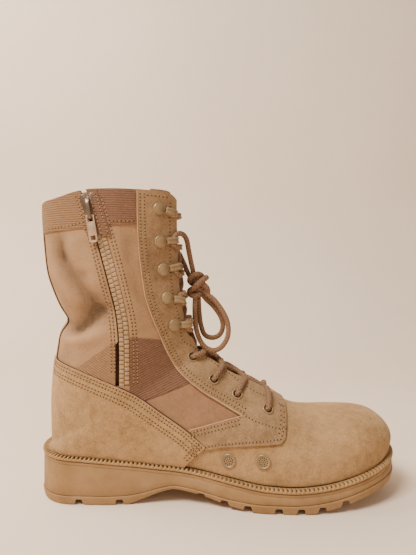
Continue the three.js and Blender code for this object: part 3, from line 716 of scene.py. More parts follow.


@dataclass(frozen=True)
class Finish:
    """A surface finish: two tones in a pattern, with its gloss, relief, dust and painted fold
    shade.
    """

    name: str
    light: tuple[float, float, float]
    dark: tuple[float, float, float]
    pattern: Pattern
    scale: float
    relief: float
    roughness: float = 0.9
    sheen: float = 0.0
    metallic: float = 0.0
    lean: float = 0.0
    dust: float = 0.25
    coat: float = 0.0
    on_map: bool = False
    # strength of the painted fold shade: painted shade in hollows, painted highlight on rises
    folds: float = 0.0

    def material(self) -> Material:
        """Builds the finish's material."""
        made = bpy.data.materials.new(self.name)
        made.use_nodes = True
        w = Wiring(made.node_tree)
        out = w.add("ShaderNodeOutputMaterial")
        shader = w.add("ShaderNodeBsdfPrincipled")
        w.join(shader.outputs[0], out.inputs[0])
        where = w.add("ShaderNodeTexCoord")
        place = where.outputs["UV" if self.on_map else "Object"]
        if self.lean:
            turned_by = w.add("ShaderNodeMapping")
            turned_by.inputs["Rotation"].default_value = (0, radians(self.lean), 0)
            w.join(place, turned_by.inputs["Vector"])
            place = turned_by.outputs[0]
        effect = w.effect(GROUPS[self.pattern], place, self.scale)
        colour = w.mix(effect["Tone"], (*self.dark, 1.0), (*self.light, 1.0))
        # painted shade darkens the fold hollows and a painted highlight lightens their rises
        if self.folds:
            plane = w.add("ShaderNodeUVMap", uv_map="folds")
            shade = w.effect(FOLDS, plane.outputs[0], self.folds)
            fold_hollow_shade = (*(c * HOLLOW_SHADE for c in self.dark), 1.0)
            colour = w.mix(shade["Tone"], colour, fold_hollow_shade)
            colour = w.mix(shade["Height"], colour, (*(c * RISE_SHADE for c in self.light), 1.0))
        if self.dust:
            dust = w.effect(DUST, where.outputs["Object"], self.dust)
            colour = w.mix(dust["Tone"], colour, DUST_COLOUR)
        w.join(colour, shader.inputs["Base Color"])
        most, least = min(self.roughness + 0.05, 1.0), self.roughness - 0.06
        w.join(w.remap(effect["Tone"], 0.0, 1.0, most, least), shader.inputs["Roughness"])
        for socket, value in (
            ("Metallic", self.metallic), ("Sheen Weight", self.sheen), ("Sheen Roughness", 0.6),
            ("Sheen Tint", SHEEN_COLOUR), ("Coat Weight", self.coat),
            ("Specular IOR Level", 0.5 if self.metallic or self.coat else 0.25),
        ):
            shader.inputs[socket].default_value = value
        if self.relief:
            bump = w.add("ShaderNodeBump")
            bump.inputs["Strength"].default_value = 0.7
            bump.inputs["Distance"].default_value = self.relief * MM
            w.join(effect["Height"], bump.inputs["Height"])
            w.join(bump.outputs[0], shader.inputs["Normal"])
        return made


def finish(*values: object, **more: object) -> Material:
    """The material of a finish."""
    return Finish(*values, **more).material()


SUEDE = finish(
    "suede", (0.535, 0.32, 0.146), (0.235, 0.13, 0.05), Pattern.NAP, 760, 0.6, 0.95, 0.15,
    folds=0.5,
)
FACING_SUEDE = finish(
    "facing_suede", (0.42, 0.255, 0.13), (0.18, 0.1, 0.045), Pattern.NAP, 760, 0.6, 0.95, 0.15,
    folds=0.5,
)
SMOOTH_SUEDE = finish(
    "smooth_suede", (0.335, 0.176, 0.093), (0.225, 0.112, 0.056), Pattern.NAP, 600, 0.2, 0.9, 0.15,
    folds=0.5,
)
CANVAS = finish(
    "canvas", (0.49, 0.285, 0.15), (0.235, 0.125, 0.059), Pattern.WEAVE, 1400, 0.12, 0.88, 0.1,
    on_map=True, folds=0.9,
)
BAND_LIGHT = finish(
    "webbing_light", (0.31, 0.167, 0.082), (0.115, 0.053, 0.023), Pattern.RIBS, 560, 0.5, 0.85, 0.1,
    dust=0.1,
)
BAND_DARK = finish(
    "webbing_dark", (0.24, 0.118, 0.068), (0.08, 0.036, 0.02), Pattern.RIBS, 560, 0.5, 0.85, 0.1,
    dust=0.05,
)
BAND_FRONT = finish(
    "webbing_ankle_front", (0.215, 0.105, 0.06), (0.065, 0.028, 0.015), Pattern.RIBS, 560, 0.5,
    0.85, 0.1, lean=24, dust=0.05,
)
BAND_REAR = finish(
    "webbing_ankle_rear", (0.345, 0.19, 0.094), (0.115, 0.056, 0.025), Pattern.RIBS, 560, 0.5, 0.85,
    0.1, lean=-33, dust=0.1,
)
RAW_EDGE = finish(
    "raw_edge", (0.6, 0.36, 0.21), (0.4, 0.225, 0.12), Pattern.NAP, 1500, 0.2, 0.9
)
THREAD = finish(
    "thread", (0.40, 0.245, 0.12), (0.27, 0.155, 0.07), Pattern.NAP, 2500, 0.05, 0.7, dust=0.0
)
# painted shade for holes: eyelet holes, needle holes and the vents' drillings
HOLE_SHADE = finish(
    "hole_shade", (0.075, 0.036, 0.015), (0.04, 0.018, 0.008), Pattern.GRAIN, 2000, 0.0, 0.95,
    dust=0.0,
)
# painted shadow: a dark finish laid in gaps and crevices where only shade falls
SHADOW = finish(
    "gap_shadow", (0.11, 0.043, 0.021), (0.06, 0.023, 0.011), Pattern.NAP, 900, 0.1, 0.95, dust=0.0
)
LINING = finish(
    "lining", (0.38, 0.24, 0.14), (0.24, 0.145, 0.08), Pattern.WEAVE, 1500, 0.1, 0.9, 0.1,
    on_map=True, dust=0.0,
)
FOOTBED = finish(
    "footbed", (0.3, 0.19, 0.11), (0.2, 0.12, 0.07), Pattern.NAP, 700, 0.3, 0.95, 0.1, dust=0.0
)
RUBBER = finish(
    "rubber", (0.365, 0.21, 0.09), (0.265, 0.146, 0.058), Pattern.GRAIN, 1400, 0.05, 0.62, dust=0.25
)
WELT_RUBBER = finish(
    "welt_rubber", (0.42, 0.25, 0.108), (0.29, 0.163, 0.063), Pattern.GRAIN, 1400, 0.05, 0.6,
    dust=0.25,
)
# painted shade for the bottoms of the welt's pressed notches
WELT_GROOVE_SHADE = finish(
    "welt_groove_shade", (0.13, 0.068, 0.026), (0.07, 0.034, 0.013), Pattern.GRAIN, 1400, 0.05, 0.9,
    dust=0.0,
)
PAINTED = finish(
    "painted_metal", (0.345, 0.228, 0.108), (0.225, 0.14, 0.062), Pattern.GRAIN, 1800, 0.03, 0.42,
    metallic=0.15, dust=0.1, coat=0.25,
)
BRONZE = finish(
    "slider_metal", (0.26, 0.178, 0.118), (0.1, 0.06, 0.036), Pattern.GRAIN, 1500, 0.03, 0.38,
    metallic=0.55, dust=0.0, coat=0.2,
)
BRIGHT = finish(
    "bright_metal", (0.72, 0.5, 0.34), (0.5, 0.33, 0.215), Pattern.GRAIN, 1500, 0.03, 0.36,
    metallic=0.55, dust=0.0, coat=0.2,
)
TEETH = finish(
    "zip_teeth", (0.46, 0.29, 0.15), (0.3, 0.18, 0.085), Pattern.GRAIN, 1500, 0.03, 0.45,
    dust=0.1, coat=0.1,
)
TAPE = finish(
    "zip_tape", (0.36, 0.22, 0.115), (0.22, 0.13, 0.065), Pattern.RIBS, 1200, 0.15, 0.85, dust=0.0
)
LACE = finish(
    "lace", (0.33, 0.18, 0.1), (0.125, 0.06, 0.032), Pattern.BRAID, 4.0, 0.35, 0.8, 0.1,
    on_map=True, dust=0.0,
)
# --- sole's shape
@dataclass
class SoleShape:
    """Widths and levels of the sole along its length, in millimetres."""

    heel_rear: float = -35.0
    toe_tip: float = 265.6
    ball: float = 172.0
    foot_rear: float = -26.5
    foot_tip: float = 261.5
    welt_margin: float = 5.5
    welt_thick: float = 3.4
    gap: float = 0.3
    # place along the boot, half width towards the zip's side, half width on the other
    widths: tuple = (
        (0, 34.5, 35), (25, 35.5, 38), (50, 34, 41), (75, 33.5, 44.5), (100, 36.5, 48.5),
        (125, 43.5, 53.5), (150, 48.5, 56), (172, 50, 56.5),
    )
    # place along the boot, welt's top, parting line, tread
    levels: tuple = (
        (-35, 39.8, 7, 0), (20, 36.5, 7.1, 0), (41, 34.3, 7.4, 0), (53, 32.9, 9, 3.4),
        (68, 31, 13, 9), (80, 29.8, 15, 11.5), (92, 28.4, 13.6, 10), (110, 25.8, 10.4, 6.2),
        (126, 23.6, 8.3, 2.6), (142, 21.2, 7.1, 0.4), (152, 20.1, 6.8, 0), (172, 19.2, 6.8, 0),
        (185, 19.8, 7.5, 0), (202, 21.8, 9.9, 3), (218, 24.8, 13.2, 6.6), (238, 29.2, 18, 11.6),
        (256, 34.4, 21.8, 14.2), (265.6, 37.4, 23.4, 15),
    )

    def __post_init__(self) -> None:
        """Fits the lines through the tables."""
        self.half = {Side.MEDIAL: table(self.widths, 1), Side.LATERAL: table(self.widths, 2)}
        self.top, self.parting, self.tread = (table(self.levels, c) for c in (1, 2, 3))

    def half_width(self, side: Side, x: float, rear: float, tip: float, margin: float) -> float:
        """Half width of an outline that lies a margin inside the sole's.

        Args:
            side: which side.
            x: place along the boot.
            rear: rearmost point of the outline.
            tip: foremost point of it.
            margin: how far inside it lies.

        Returns:
            The half width in millimetres.
        """
        line = self.half[side]
        if x < 0:
            share = min(x / rear, 1.0)
            return (line.at(0) - margin) * max(1 - share**2.2, 0) ** (1 / 2.1)
        if x > self.ball:
            share = min((x - self.ball) / (tip - self.ball), 1.0)
            power = 2.7 if side is Side.MEDIAL else 1.95
            return (line.at(self.ball) - margin) * max(1 - share**power, 0) ** 0.5
        return line.at(x) - margin

    def foot_half(self, side: Side, x: float) -> float:
        """Half width of the upper where it meets the welt."""
        return self.half_width(side, x, self.foot_rear, self.foot_tip, self.welt_margin)

    def outline(self, margin: float, count: int) -> list[Point2]:
        """The closed outline, margin inside the sole's: zip side to the toe, then back."""
        rear, tip = self.heel_rear + margin, self.toe_tip - margin
        stations = [
            (rear + tip) / 2 - (tip - rear) / 2 * cos(pi * i / count)
            for i in range(count + 1)
        ]
        medial = [(x, -self.half_width(Side.MEDIAL, x, rear, tip, margin)) for x in stations]
        lateral = [(x, self.half_width(Side.LATERAL, x, rear, tip, margin)) for x in stations]
        return medial[:-1] + lateral[:0:-1]


SOLE = SoleShape()


# --- last
class LastSurface:
    """The outer surface of the upper, as section lines from the crown down to the welt."""

    CROWN_STEPS, FOOT_STEPS = 20, 14
    # crown's x and z, foot's x and, behind the heel, z, half widths, widest share, crown power
    ROWS: tuple = (
        (265.0, 39.6, 261.5, None, 0.1, 0.1, 0.6, 2.4),
        (264.9, 41, 261.48, None, 2.4, 1.8, 0.6, 2.4),
        (264.6, 43.5, 261.42, None, 4.8, 3.8, 0.6, 2.4),
        (264.2, 46, 261.2, None, 7, 5.5, 0.6, 2.4),
        (263, 51.2, 259.5, None, 13, 11.5, 0.6, 2.4),
        (260, 57, 255.6, None, 20.5, 19.5, 0.6, 2.4),
        (255, 62.6, 249.4, None, 28, 27.5, 0.61, 2.4),
        (247.5, 66.8, 241, None, 34.2, 34.2, 0.62, 2.35),
        (235, 68.7, 229, None, 39.2, 40.6, 0.63, 2.3),
        (218, 68.9, 215, None, 42.8, 45.8, 0.64, 2.25),
        (202, 68.6, 200.5, None, 44.8, 49.2, 0.65, 2.15),
        (188, 69.3, 188, None, 45.6, 51, 0.66, 2.05),
        (176, 73, 176, None, 46, 52.4, 0.67, 1.9),
        (163, 81, 163, None, 45.4, 52.4, 0.68, 1.75),
        (150, 89.8, 150, None, 44, 51.6, 0.68, 1.68),
        (137.7, 96.9, 121, None, 39.6, 49, 0.66, 1.64),
        (126.8, 102.4, 91, None, 35.8, 44, 0.62, 1.6),
        (118.3, 109.4, 59, None, 34.5, 39.6, 0.58, 1.57),
        (111, 114.9, 24, None, 34.5, 37, 0.56, 1.55),
        (106.2, 119.3, -8, None, 34.5, 36, 0.55, 1.52),
        (104.2, 121.4, -20, None, 34.7, 36, 0.54, 1.5),
        (103.2, 122.7, -26.5, None, 34.8, 36, 0.53, 1.5),
        (101.5, 125.2, -27.2, 56, 35, 36, 0.52, 1.5),
        (99.6, 129.2, -27.4, 76, 35.5, 36.3, 0.51, 1.5),
        (98.2, 134.2, -26.2, 97, 36, 36.6, 0.5, 1.5),
        (96.9, 139.7, -24, 117, 36, 36.6, 0.49, 1.5),
        (95.7, 145.2, -20.8, 134, 35.8, 36.6, 0.48, 1.5),
        (94.6, 151, -16.4, 147, 35.6, 36.6, 0.47, 1.5),
        (93.4, 160, -22, 159, 36.2, 37, 0.46, 1.5),
        (92.4, 172, -27.4, 172, 37, 37.4, 0.46, 1.5),
        (91.8, 186, -32, 186, 37.8, 38, 0.45, 1.5),
        (91.3, 203, -34.2, 203, 38, 38, 0.45, 1.5),
        (91, 242, -36.8, 242, 38, 38, 0.45, 1.5),
        (91, 258, -36.8, 258, 38, 38, 0.45, 1.5),
    )
    SEAT = 21  # the last row whose foot is on the sole
    RING_STEP = 2.4  # distance between sections, in millimetres
    SMOOTHINGS = 3
    NORMAL_SMOOTHINGS = 4
    # creases of the cloth: line in side view, depth, width; a rise has a negative depth
    CREASES: dict = {
        Side.MEDIAL: (
            (((-9, 137), (1, 139), (9, 146), (18, 153), (30, 160)), 5.6, 5.2),
            (((2, 152), (12, 160), (21, 168)), 2.8, 7.0),
            (((-16, 204), (-7, 188), (4, 173), (13, 160)), 3.2, 6.0),
            (((66, 204), (68, 190), (71, 172)), 1.2, 8.0),
            (((-22, 192), (-14, 180), (-4, 166), (2, 157)), -2.2, 5.0),
            (((-14, 131), (2, 132), (17, 135), (27, 142)), -3.4, 5.5),
            (((-22, 147), (-14, 145), (-4, 142)), 2.4, 5.0),
            (((-15, 215), (-14, 204), (-13, 193)), 3.0, 5.0),
            (((-4, 216), (-2, 206), (2, 194)), -1.8, 6.0),
            (((7, 187), (10, 182)), 2.0, 3.5),
            (((14, 198), (17, 186), (19, 172)), -1.6, 5.0),
            (((46, 216), (44, 204), (43, 192)), 1.3, 5.0),
            (((45, 188), (49, 172), (55, 157)), 1.2, 4.0),
            (((37, 206), (38, 190), (43, 172), (49, 156)), -1.6, 4.5),
            (((0, 52), (10, 46), (22, 44)), 0.7, 8.0),
            (((150, 62), (170, 58), (188, 60)), 0.5, 9.0),
        ),
        Side.LATERAL: (
            (((-22, 147), (-6, 146), (14, 149), (36, 154)), 4.0, 6.5),
            (((-16, 133), (2, 134), (24, 139)), -2.4, 6.0),
            (((-26, 196), (-8, 186), (10, 172), (28, 166)), 2.4, 7.0),
            (((-22, 208), (0, 200), (24, 186)), -1.8, 8.0),
            (((14, 214), (24, 200), (36, 190)), 1.8, 6.5),
            (((0, 122), (20, 126), (40, 130)), 1.2, 6.0),
            (((150, 60), (172, 56), (190, 58)), 0.6, 9.0),
        ),
    }
    FOLD_FULL = 4.2  # depth of a fold that takes its full painted shade, in millimetres

    def __init__(self) -> None:
        """Builds the grid of points, its normals and a tree to cast rays on."""
        rings = self.even_rings()
        for _ in range(self.SMOOTHINGS):
            rings = [
                rings[0],
                *[
                    [(a + b * 2 + c) / 4 for a, b, c in zip(*three)]
                    for three in zip(rings, rings[1:], rings[2:])
                ],
                rings[-1],
            ]
        self.rings = rings
        self.normals = self.find_normals()
        self.crease()
        self.normals = self.find_normals()
        points, faces = self.mesh_data(0.0)
        self.tree = BVHTree.FromPolygons(points, faces)

    def even_rings(self) -> list[list[Vector]]:
        """Sections between and at the table's rows, each from the zip side over the crown."""
        rows = self.ROWS
        feet = [(r[2], SOLE.top.at(r[2]) + SOLE.gap if r[3] is None else r[3]) for r in rows]
        run = [0.0]
        for i in range(1, len(rows)):
            step = max(dist(rows[i][:2], rows[i - 1][:2]), 0.7 * dist(feet[i], feet[i - 1]))
            run.append(run[-1] + step)
        columns = [Curve(run, [r[c] for r in rows]) for c in (0, 1, 4, 5, 6, 7)]
        foot_x, foot_z = (Curve(run, [f[c] for f in feet]) for c in (0, 1))
        places = []
        for i in range(len(rows) - 1):
            span = run[i + 1] - run[i]
            count = max(3, round(span / self.RING_STEP))
            if i == self.SEAT - 1:
                places += [run[i] + span * (1 - (1 - k / 5) ** 1.4) for k in range(5)]
            else:
                places += [run[i] + span * k / count for k in range(count)]
        places.append(run[-1])
        rings = []
        for place in places:
            x, z, medial, lateral, widest, crown = (c.at(place) for c in columns)
            on_sole = place <= run[self.SEAT] + 1e-6
            fx = foot_x.at(place)
            fz = SOLE.top.at(fx) + SOLE.gap if on_sole else foot_z.at(place)
            halves = {
                side: self.half_ring(
                    (x, z), (fx, fz), width, SOLE.foot_half(side, fx) if on_sole else 0.0,
                    widest, crown, side.value,
                )
                for side, width in ((Side.MEDIAL, medial), (Side.LATERAL, lateral))
            }
            rings.append(halves[Side.MEDIAL][::-1] + halves[Side.LATERAL][1:])
        return rings

    def half_ring(
        self, top: Point2, foot: Point2, wide: float, base: float, widest: float, crown: float,
        sign: int,
    ) -> list[Vector]:
        """Half a section, from the crown to the foot.

        Args:
            top: the crown's x and z.
            foot: the foot's x and z.
            wide: greatest half width.
            base: half width at the foot.
            widest: share of the way down where it is widest.
            crown: power of the upper part's curve.
            sign: sign of Y.

        Returns:
            Its points in millimetres.
        """
        shape = []
        for i in range(self.CROWN_STEPS + 1):
            turn = pi / 2 * i / self.CROWN_STEPS
            down = widest * (1 - max(cos(turn), 0) ** (2 / crown))
            shape.append((down, wide * sin(turn) ** (2 / crown)))
        for i in range(1, self.FOOT_STEPS + 1):
            turn = pi / 2 * i / self.FOOT_STEPS
            down = widest + (1 - widest) * sin(turn)
            shape.append((down, base + (wide - base) * max(cos(turn), 0)))
        return [
            Vector((top[0] + (foot[0] - top[0]) * d, sign * y, top[1] + (foot[1] - top[1]) * d))
            for d, y in shape
        ]

    def find_normals(self) -> list[list[Vector]]:
        """Outward normals of the grid, joined across the heel's seam."""
        rings, last = self.rings, len(self.rings) - 1
        width = len(rings[0])
        out = []
        for i in range(len(rings)):
            a, b = rings[max(i - 1, 0)], rings[min(i + 1, last)]
            row = []
            for j in range(width):
                seam = (rings[i][0] - rings[i][-1]).length < 0.6
                left = rings[i][width - 2 if j == 0 and seam else max(j - 1, 0)]
                right = rings[i][1 if j == width - 1 and seam else min(j + 1, width - 1)]
                row.append((b[j] - a[j]).cross(right - left).normalized())
            out.append(row)
        middle = out[len(out) // 2][width // 2]
        if middle.x + middle.z < 0:
            out = [[-n for n in row] for row in out]
        for _ in range(self.NORMAL_SMOOTHINGS):
            inner = [
                [(a + b * 2 + c).normalized() for a, b, c in zip(*three)]
                for three in zip(out, out[1:], out[2:])
            ]
            out = [out[0], *inner, out[-1]]
        return out

    def crease(self) -> None:
        """Presses the creases into the surface along its normals."""
        self.folds: list[list[float]] = []
        for ring, normals in zip(self.rings, self.normals):
            depths = []
            for p in ring:
                side = Side.MEDIAL if p.y < 0 else Side.LATERAL
                # the rear middle takes both sides' creases in equal parts
                shares = {side: 1.0}
                if abs(p.y) < 12 and p.x < 20 and p.z > 100:
                    own = 0.5 + abs(p.y) / 24
                    shares = {side: own, side.other: 1 - own}
                depth = 0.0
                for which, share in shares.items():
                    for line, deep, wide in self.CREASES[which]:
                        away, along = gap_to_line(p.x, p.z, line)
                        if away < 3 * wide:
                            fade = min(1.0, 4 * along + 0.25, 4 * (1 - along) + 0.25)
                            depth += share * deep * fade * exp(-((away / wide) ** 2))
                depths.append(depth)
            for p, n, depth in zip(ring, normals, depths):
                p -= n * depth
            self.folds.append(depths)

    def mesh_data(self, height: float) -> tuple[list[Vector], list[tuple[int, ...]]]:
        """Points and quads of the surface, lifted by a height, all in millimetres."""
        width = len(self.rings[0])
        points = [
            p + n * height
            for ring, normals in zip(self.rings, self.normals)
            for p, n in zip(ring, normals)
        ]
        faces = [
            (i * width + j, (i + 1) * width + j, (i + 1) * width + j + 1, i * width + j + 1)
            for i in range(len(self.rings) - 1)
            for j in range(width - 1)
        ]
        probe = faces[len(self.rings) // 2 * (width - 1) + width // 2]
        a, b, c = (points[k] for k in probe[:3])
        way = self.normals[probe[0] // width][probe[0] % width]
        if (b - a).cross(c - a).dot(way) < 0:
            faces = [tuple(reversed(f)) for f in faces]
        return points, faces

    def sheet(
        self,
        name: str,
        height: float,
        thick: float,
        keep: Callable[[Vector], bool],
        materials: Sequence[Material],
    ) -> Object:
        """A layer of the upper, with a wall and a UV map of running lengths in metres.

        Args:
            name: the piece's name.
            height: its outer face above the form, in millimetres.
            thick: its thickness.
            keep: whether a face at a place in millimetres belongs to it.
            materials: outside first; the wall's inside takes the second, if there is one.

        Returns:
            The closed layer.
        """
        points, faces = self.mesh_data(height)
        width = len(self.rings[0])
        near = [divmod(min(f), width) for f in faces if keep((points[f[0]] + points[f[2]]) / 2)]
        rows, columns = [n[0] for n in near], [n[1] for n in near]
        kept = [
            f for f in faces
            if min(rows) <= min(f) // width <= max(rows)
            and min(columns) <= min(f) % width <= max(columns)
        ]
        obj = mesh_piece(name, points, kept, materials)
        middle = width // 2
        down = lengths([ring[middle // 2] for ring in self.rings])
        round_it = lengths(self.rings[-8])
        uv = obj.data.uv_layers.new(name="cloth")
        fold = obj.data.uv_layers.new(name="folds")
        for face in obj.data.polygons:
            for corner, vertex in zip(face.loop_indices, face.vertices):
                i, j = divmod(vertex, width)
                uv.data[corner].uv = (round_it[j] * MM, down[i] * MM)
                # the folds map holds hollow depth and rise height for the painted fold shade
                deep = self.folds[i][j] / self.FOLD_FULL
                fold.data[corner].uv = (max(deep, 0.0), max(-deep, 0.0))
        mesh = bmesh.new()
        mesh.from_mesh(obj.data)
        seam = [v for v in mesh.verts if v.index % width in (0, width - 1) and v.link_faces]
        loose = [v for v in mesh.verts if not v.link_faces]
        bmesh.ops.remove_doubles(mesh, verts=seam, dist=0.02 * MM)
        bmesh.ops.delete(mesh, geom=loose, context="VERTS")
        mesh.to_mesh(obj.data)
        mesh.free()
        modify(
            obj, "SOLIDIFY", thickness=thick * MM, offset=-1.0,
            material_offset=1 if len(materials) > 1 else 0,
            material_offset_rim=1 if len(materials) > 1 else 0,
        )
        return obj

    def behind(self, y: float, z: float) -> tuple[Vector, Vector]:
        """Point and outward normal of the surface seen from the rear, in millimetres."""
        point, normal, _, _ = self.tree.ray_cast(Vector((-200.0, y, z)), Vector((1, 0, 0)))
        return point, normal if normal.x < 0 else -normal

    def at(self, x: float, z: float, side: Side) -> tuple[Vector, Vector]:
        """Point and outward normal of the surface at a side-view place, in millimetres."""
        start = Vector((x, side.value * 200.0, z))
        point, normal, _, _ = self.tree.ray_cast(start, Vector((0, -side.value, 0)))
        if point is None:
            point, normal, _, _ = self.tree.find_nearest(Vector((x, side.value * 20.0, z)))
        if normal.y * side.value < 0:
            normal = -normal
        return point, normal


LAST = LastSurface()
AHEAD = Vector((1, 0, 0))


def set_on(x: float, z: float, side: Side, lift: float) -> Matrix:
    """Where a fitting stands on the upper: lifted off it, its X towards the toe."""
    point, normal = LAST.at(x, z, side)
    return frame_of((point + normal * lift) * MM, normal, AHEAD)


# --- shared outlines
COUNTER_TOP = ((-40, 117), (-18, 112), (0, 107.4), (20, 100.6), (43.5, 90.2), (71.6, 72),
               (89.7, 59.5), (104.6, 47.3))
COUNTER_FRONT = ((104.6, 47.3), (96.3, 39.4), (88.4, 30.3), (84, 20))
STAY_REAR = ((49.6, 262), (49.8, 252), (50.3, 220.6), (52, 194.9), (55.9, 168), (60.4, 152),
             (68.1, 132), (74.1, 117.8), (82.2, 104.4), (100.2, 89.6), (117, 79.8), (134.4, 70.6))
STRIP_TOP = ((134.4, 70.6), (113.1, 65.6), (92.6, 60.8))
STRIP_LOW = ((100.3, 43.5), (105.9, 45.8), (116.7, 48.2), (143.4, 51.1), (163.4, 52.5))
STAY_FRONT = ((163.4, 52.5), (167.2, 56.6), (171.2, 72.8), (174.2, 84))
THROAT = ((163, 81, 3, 3), (160.5, 82.7, 6.5, 7), (156, 85.7, 8, 9), (137.7, 96.9, 9, 10.5),
          (118.3, 109.4, 9.5, 11), (104.2, 121.4, 10, 12), (99.2, 130.5, 11, 13),
          (97.8, 136, 14.5, 17), (94.6, 151, 16, 18.5), (91.8, 186, 17.5, 20), (91, 222, 18, 20.5),
          (91, 262, 18, 20.5))
ZIP_LINE = ((39.3, 95), (39.5, 113), (39.2, 131), (37.8, 147), (34.4, 164), (29, 187),
            (22.8, 209), (16.4, 230), (9.2, 252), (5.7, 262.5))
EYELETS = ((154.6, 73.8), (130.6, 84.8), (111, 96.3), (93, 114.3))
HOOKS = ((77.9, 142.2), (72.4, 164.8), (69.1, 187.9), (66.8, 210.8), (65.9, 237.4))
VENTS = ((122.9, 37.8), (149.5, 39))
PROUD = 2.0  # outer face of the counter and eyestays above the form
BAND_PROUD = 0.75


def collar_cutter(material: Material) -> Object:
    """Everything above the collar line, which dips to the rear and rounds off in front."""
    line = [(-70, 236), (-40, 239.5), (-37.2, 242.2), (-34, 244.2), (-28, 245.3), (-20, 246),
            (-12, 247.4), (-2, 249.8), (8, 251.5), (20, 252), (71, 252)]
    line += arc(71, 241, 11, 90, 0, 8)[1:]
    return prism([*line, (130, 241), (130, 300), (-70, 300)], -80, 80, material)


def throat_cutter(material: Material) -> Object:
    """The opening between the facings."""
    rows = smooth_line(THROAT, 4.0)
    rings = []
    for i, (x, z, medial, lateral) in enumerate(rows):
        a, b = rows[max(i - 1, 0)], rows[min(i + 1, len(rows) - 1)]
        out = Vector((b[1] - a[1], 0, a[0] - b[0])).normalized()
        low, high = Vector((x, 0, z)) - out * 16, Vector((x, 0, z)) + out * 22
        left, right = Vector((0, -medial, 0)), Vector((0, lateral, 0))
        rings.append([low + left, low + right, high + right, high + left])
    return loft("cutter", rings, material)


def zip_edge(distance: float, step: float = 3.0) -> list[Point2]:
    """The zip's middle line moved towards the toe by a distance, from low to high."""
    return beside(smooth_line(ZIP_LINE, step), -distance)


def zip_gap() -> list[Point2]:
    """The rear edge of the zip's opening, which gapes over the ankle band."""
    near, far = zip_edge(-4.2), zip_edge(-6.4)
    return [a if a[1] > 129 else b for a, b in zip(near, far)]


def zip_band(before: float, material: Material) -> Object:
    """A solid along the zip on its own side, from its gap to before its line."""
    return prism(zip_gap() + zip_edge(before)[::-1], -80, -14, material)


# --- stage
@dataclass
class Studio:
    """Camera, floor with its curved backdrop, and soft light."""

    eye: tuple[float, float, float] = (0.1067, -0.377, 0.1817)
    lens: float = 27.89
    half_wide: float = 2.6
    front: float = -2.2
    back: float = 0.95
    bend: float = 0.5
    high: float = 2.6

    def camera(self) -> None:
        """The view of the zip's side, level with the shaft."""
        data = bpy.data.cameras.new("view")
        data.lens = self.lens
        data.sensor_width = 36.0
        data.clip_start = 0.01
        made = linked("view", data)
        made.location = self.eye
        made.rotation_euler = (pi / 2, 0, 0)
        bpy.context.scene.camera = made

    def backdrop(self) -> None:
        """One sheet: floor, bend and wall."""
        wall = finish(
            "backdrop", (0.88, 0.73, 0.585), (0.83, 0.685, 0.545), Pattern.GRAIN, 60, 0.0, 0.95,
            dust=0.0,
        )
        foot = arc(self.back - self.bend, self.bend, self.bend, -90, 0, 16)
        line = [(self.front, 0.0), *foot, (self.back, self.high)]
        wide = self.half_wide / MM
        points = [(x, y / MM, z / MM) for y, z in line for x in (-wide, wide)]
        faces = [(2 * i, 2 * i + 1, 2 * i + 3, 2 * i + 2) for i in range(len(line) - 1)]
        sheet = smooth(mesh_piece("studio_sweep", points, faces, [wall]), 60)
        sheet.location.z = -0.0003

    def lights(self) -> None:
        """A broad key from the upper left, a fill from the right and a warm sky."""
        for name, place, size, power, colour in (
            ("key", (-0.6, -0.75, 1.5), 0.6, 43.0, (1.0, 0.93, 0.84)),
            ("fill", (0.9, -1.5, 0.8), 1.2, 3.5, (1.0, 0.9, 0.79)),
            ("wall_wash", (-1.1, 0.25, 1.5), 0.9, 24.0, (1.0, 0.93, 0.84)),
        ):
            data = bpy.data.lights.new(name, "AREA")
            data.size, data.energy, data.color = size, power, colour
            lamp = linked(name, data)
            lamp.location = place
            aim = Vector((0.1, 0.0, 0.13)) - Vector(place)
            if name == "wall_wash":
                aim = Vector((-0.35, 0.95, 0.35)) - Vector(place)
            lamp.rotation_euler = aim.to_track_quat("-Z", "Y").to_euler()
        world = bpy.data.worlds.new("sky")
        world.use_nodes = True
        sky = world.node_tree.nodes["Background"]
        sky.inputs[0].default_value = (1.0, 0.9, 0.8, 1.0)
        sky.inputs[1].default_value = 0.37
        bpy.context.scene.world = world

    def build(self) -> None:
        """Sets everything up."""
        self.camera()
        self.backdrop()
        self.lights()


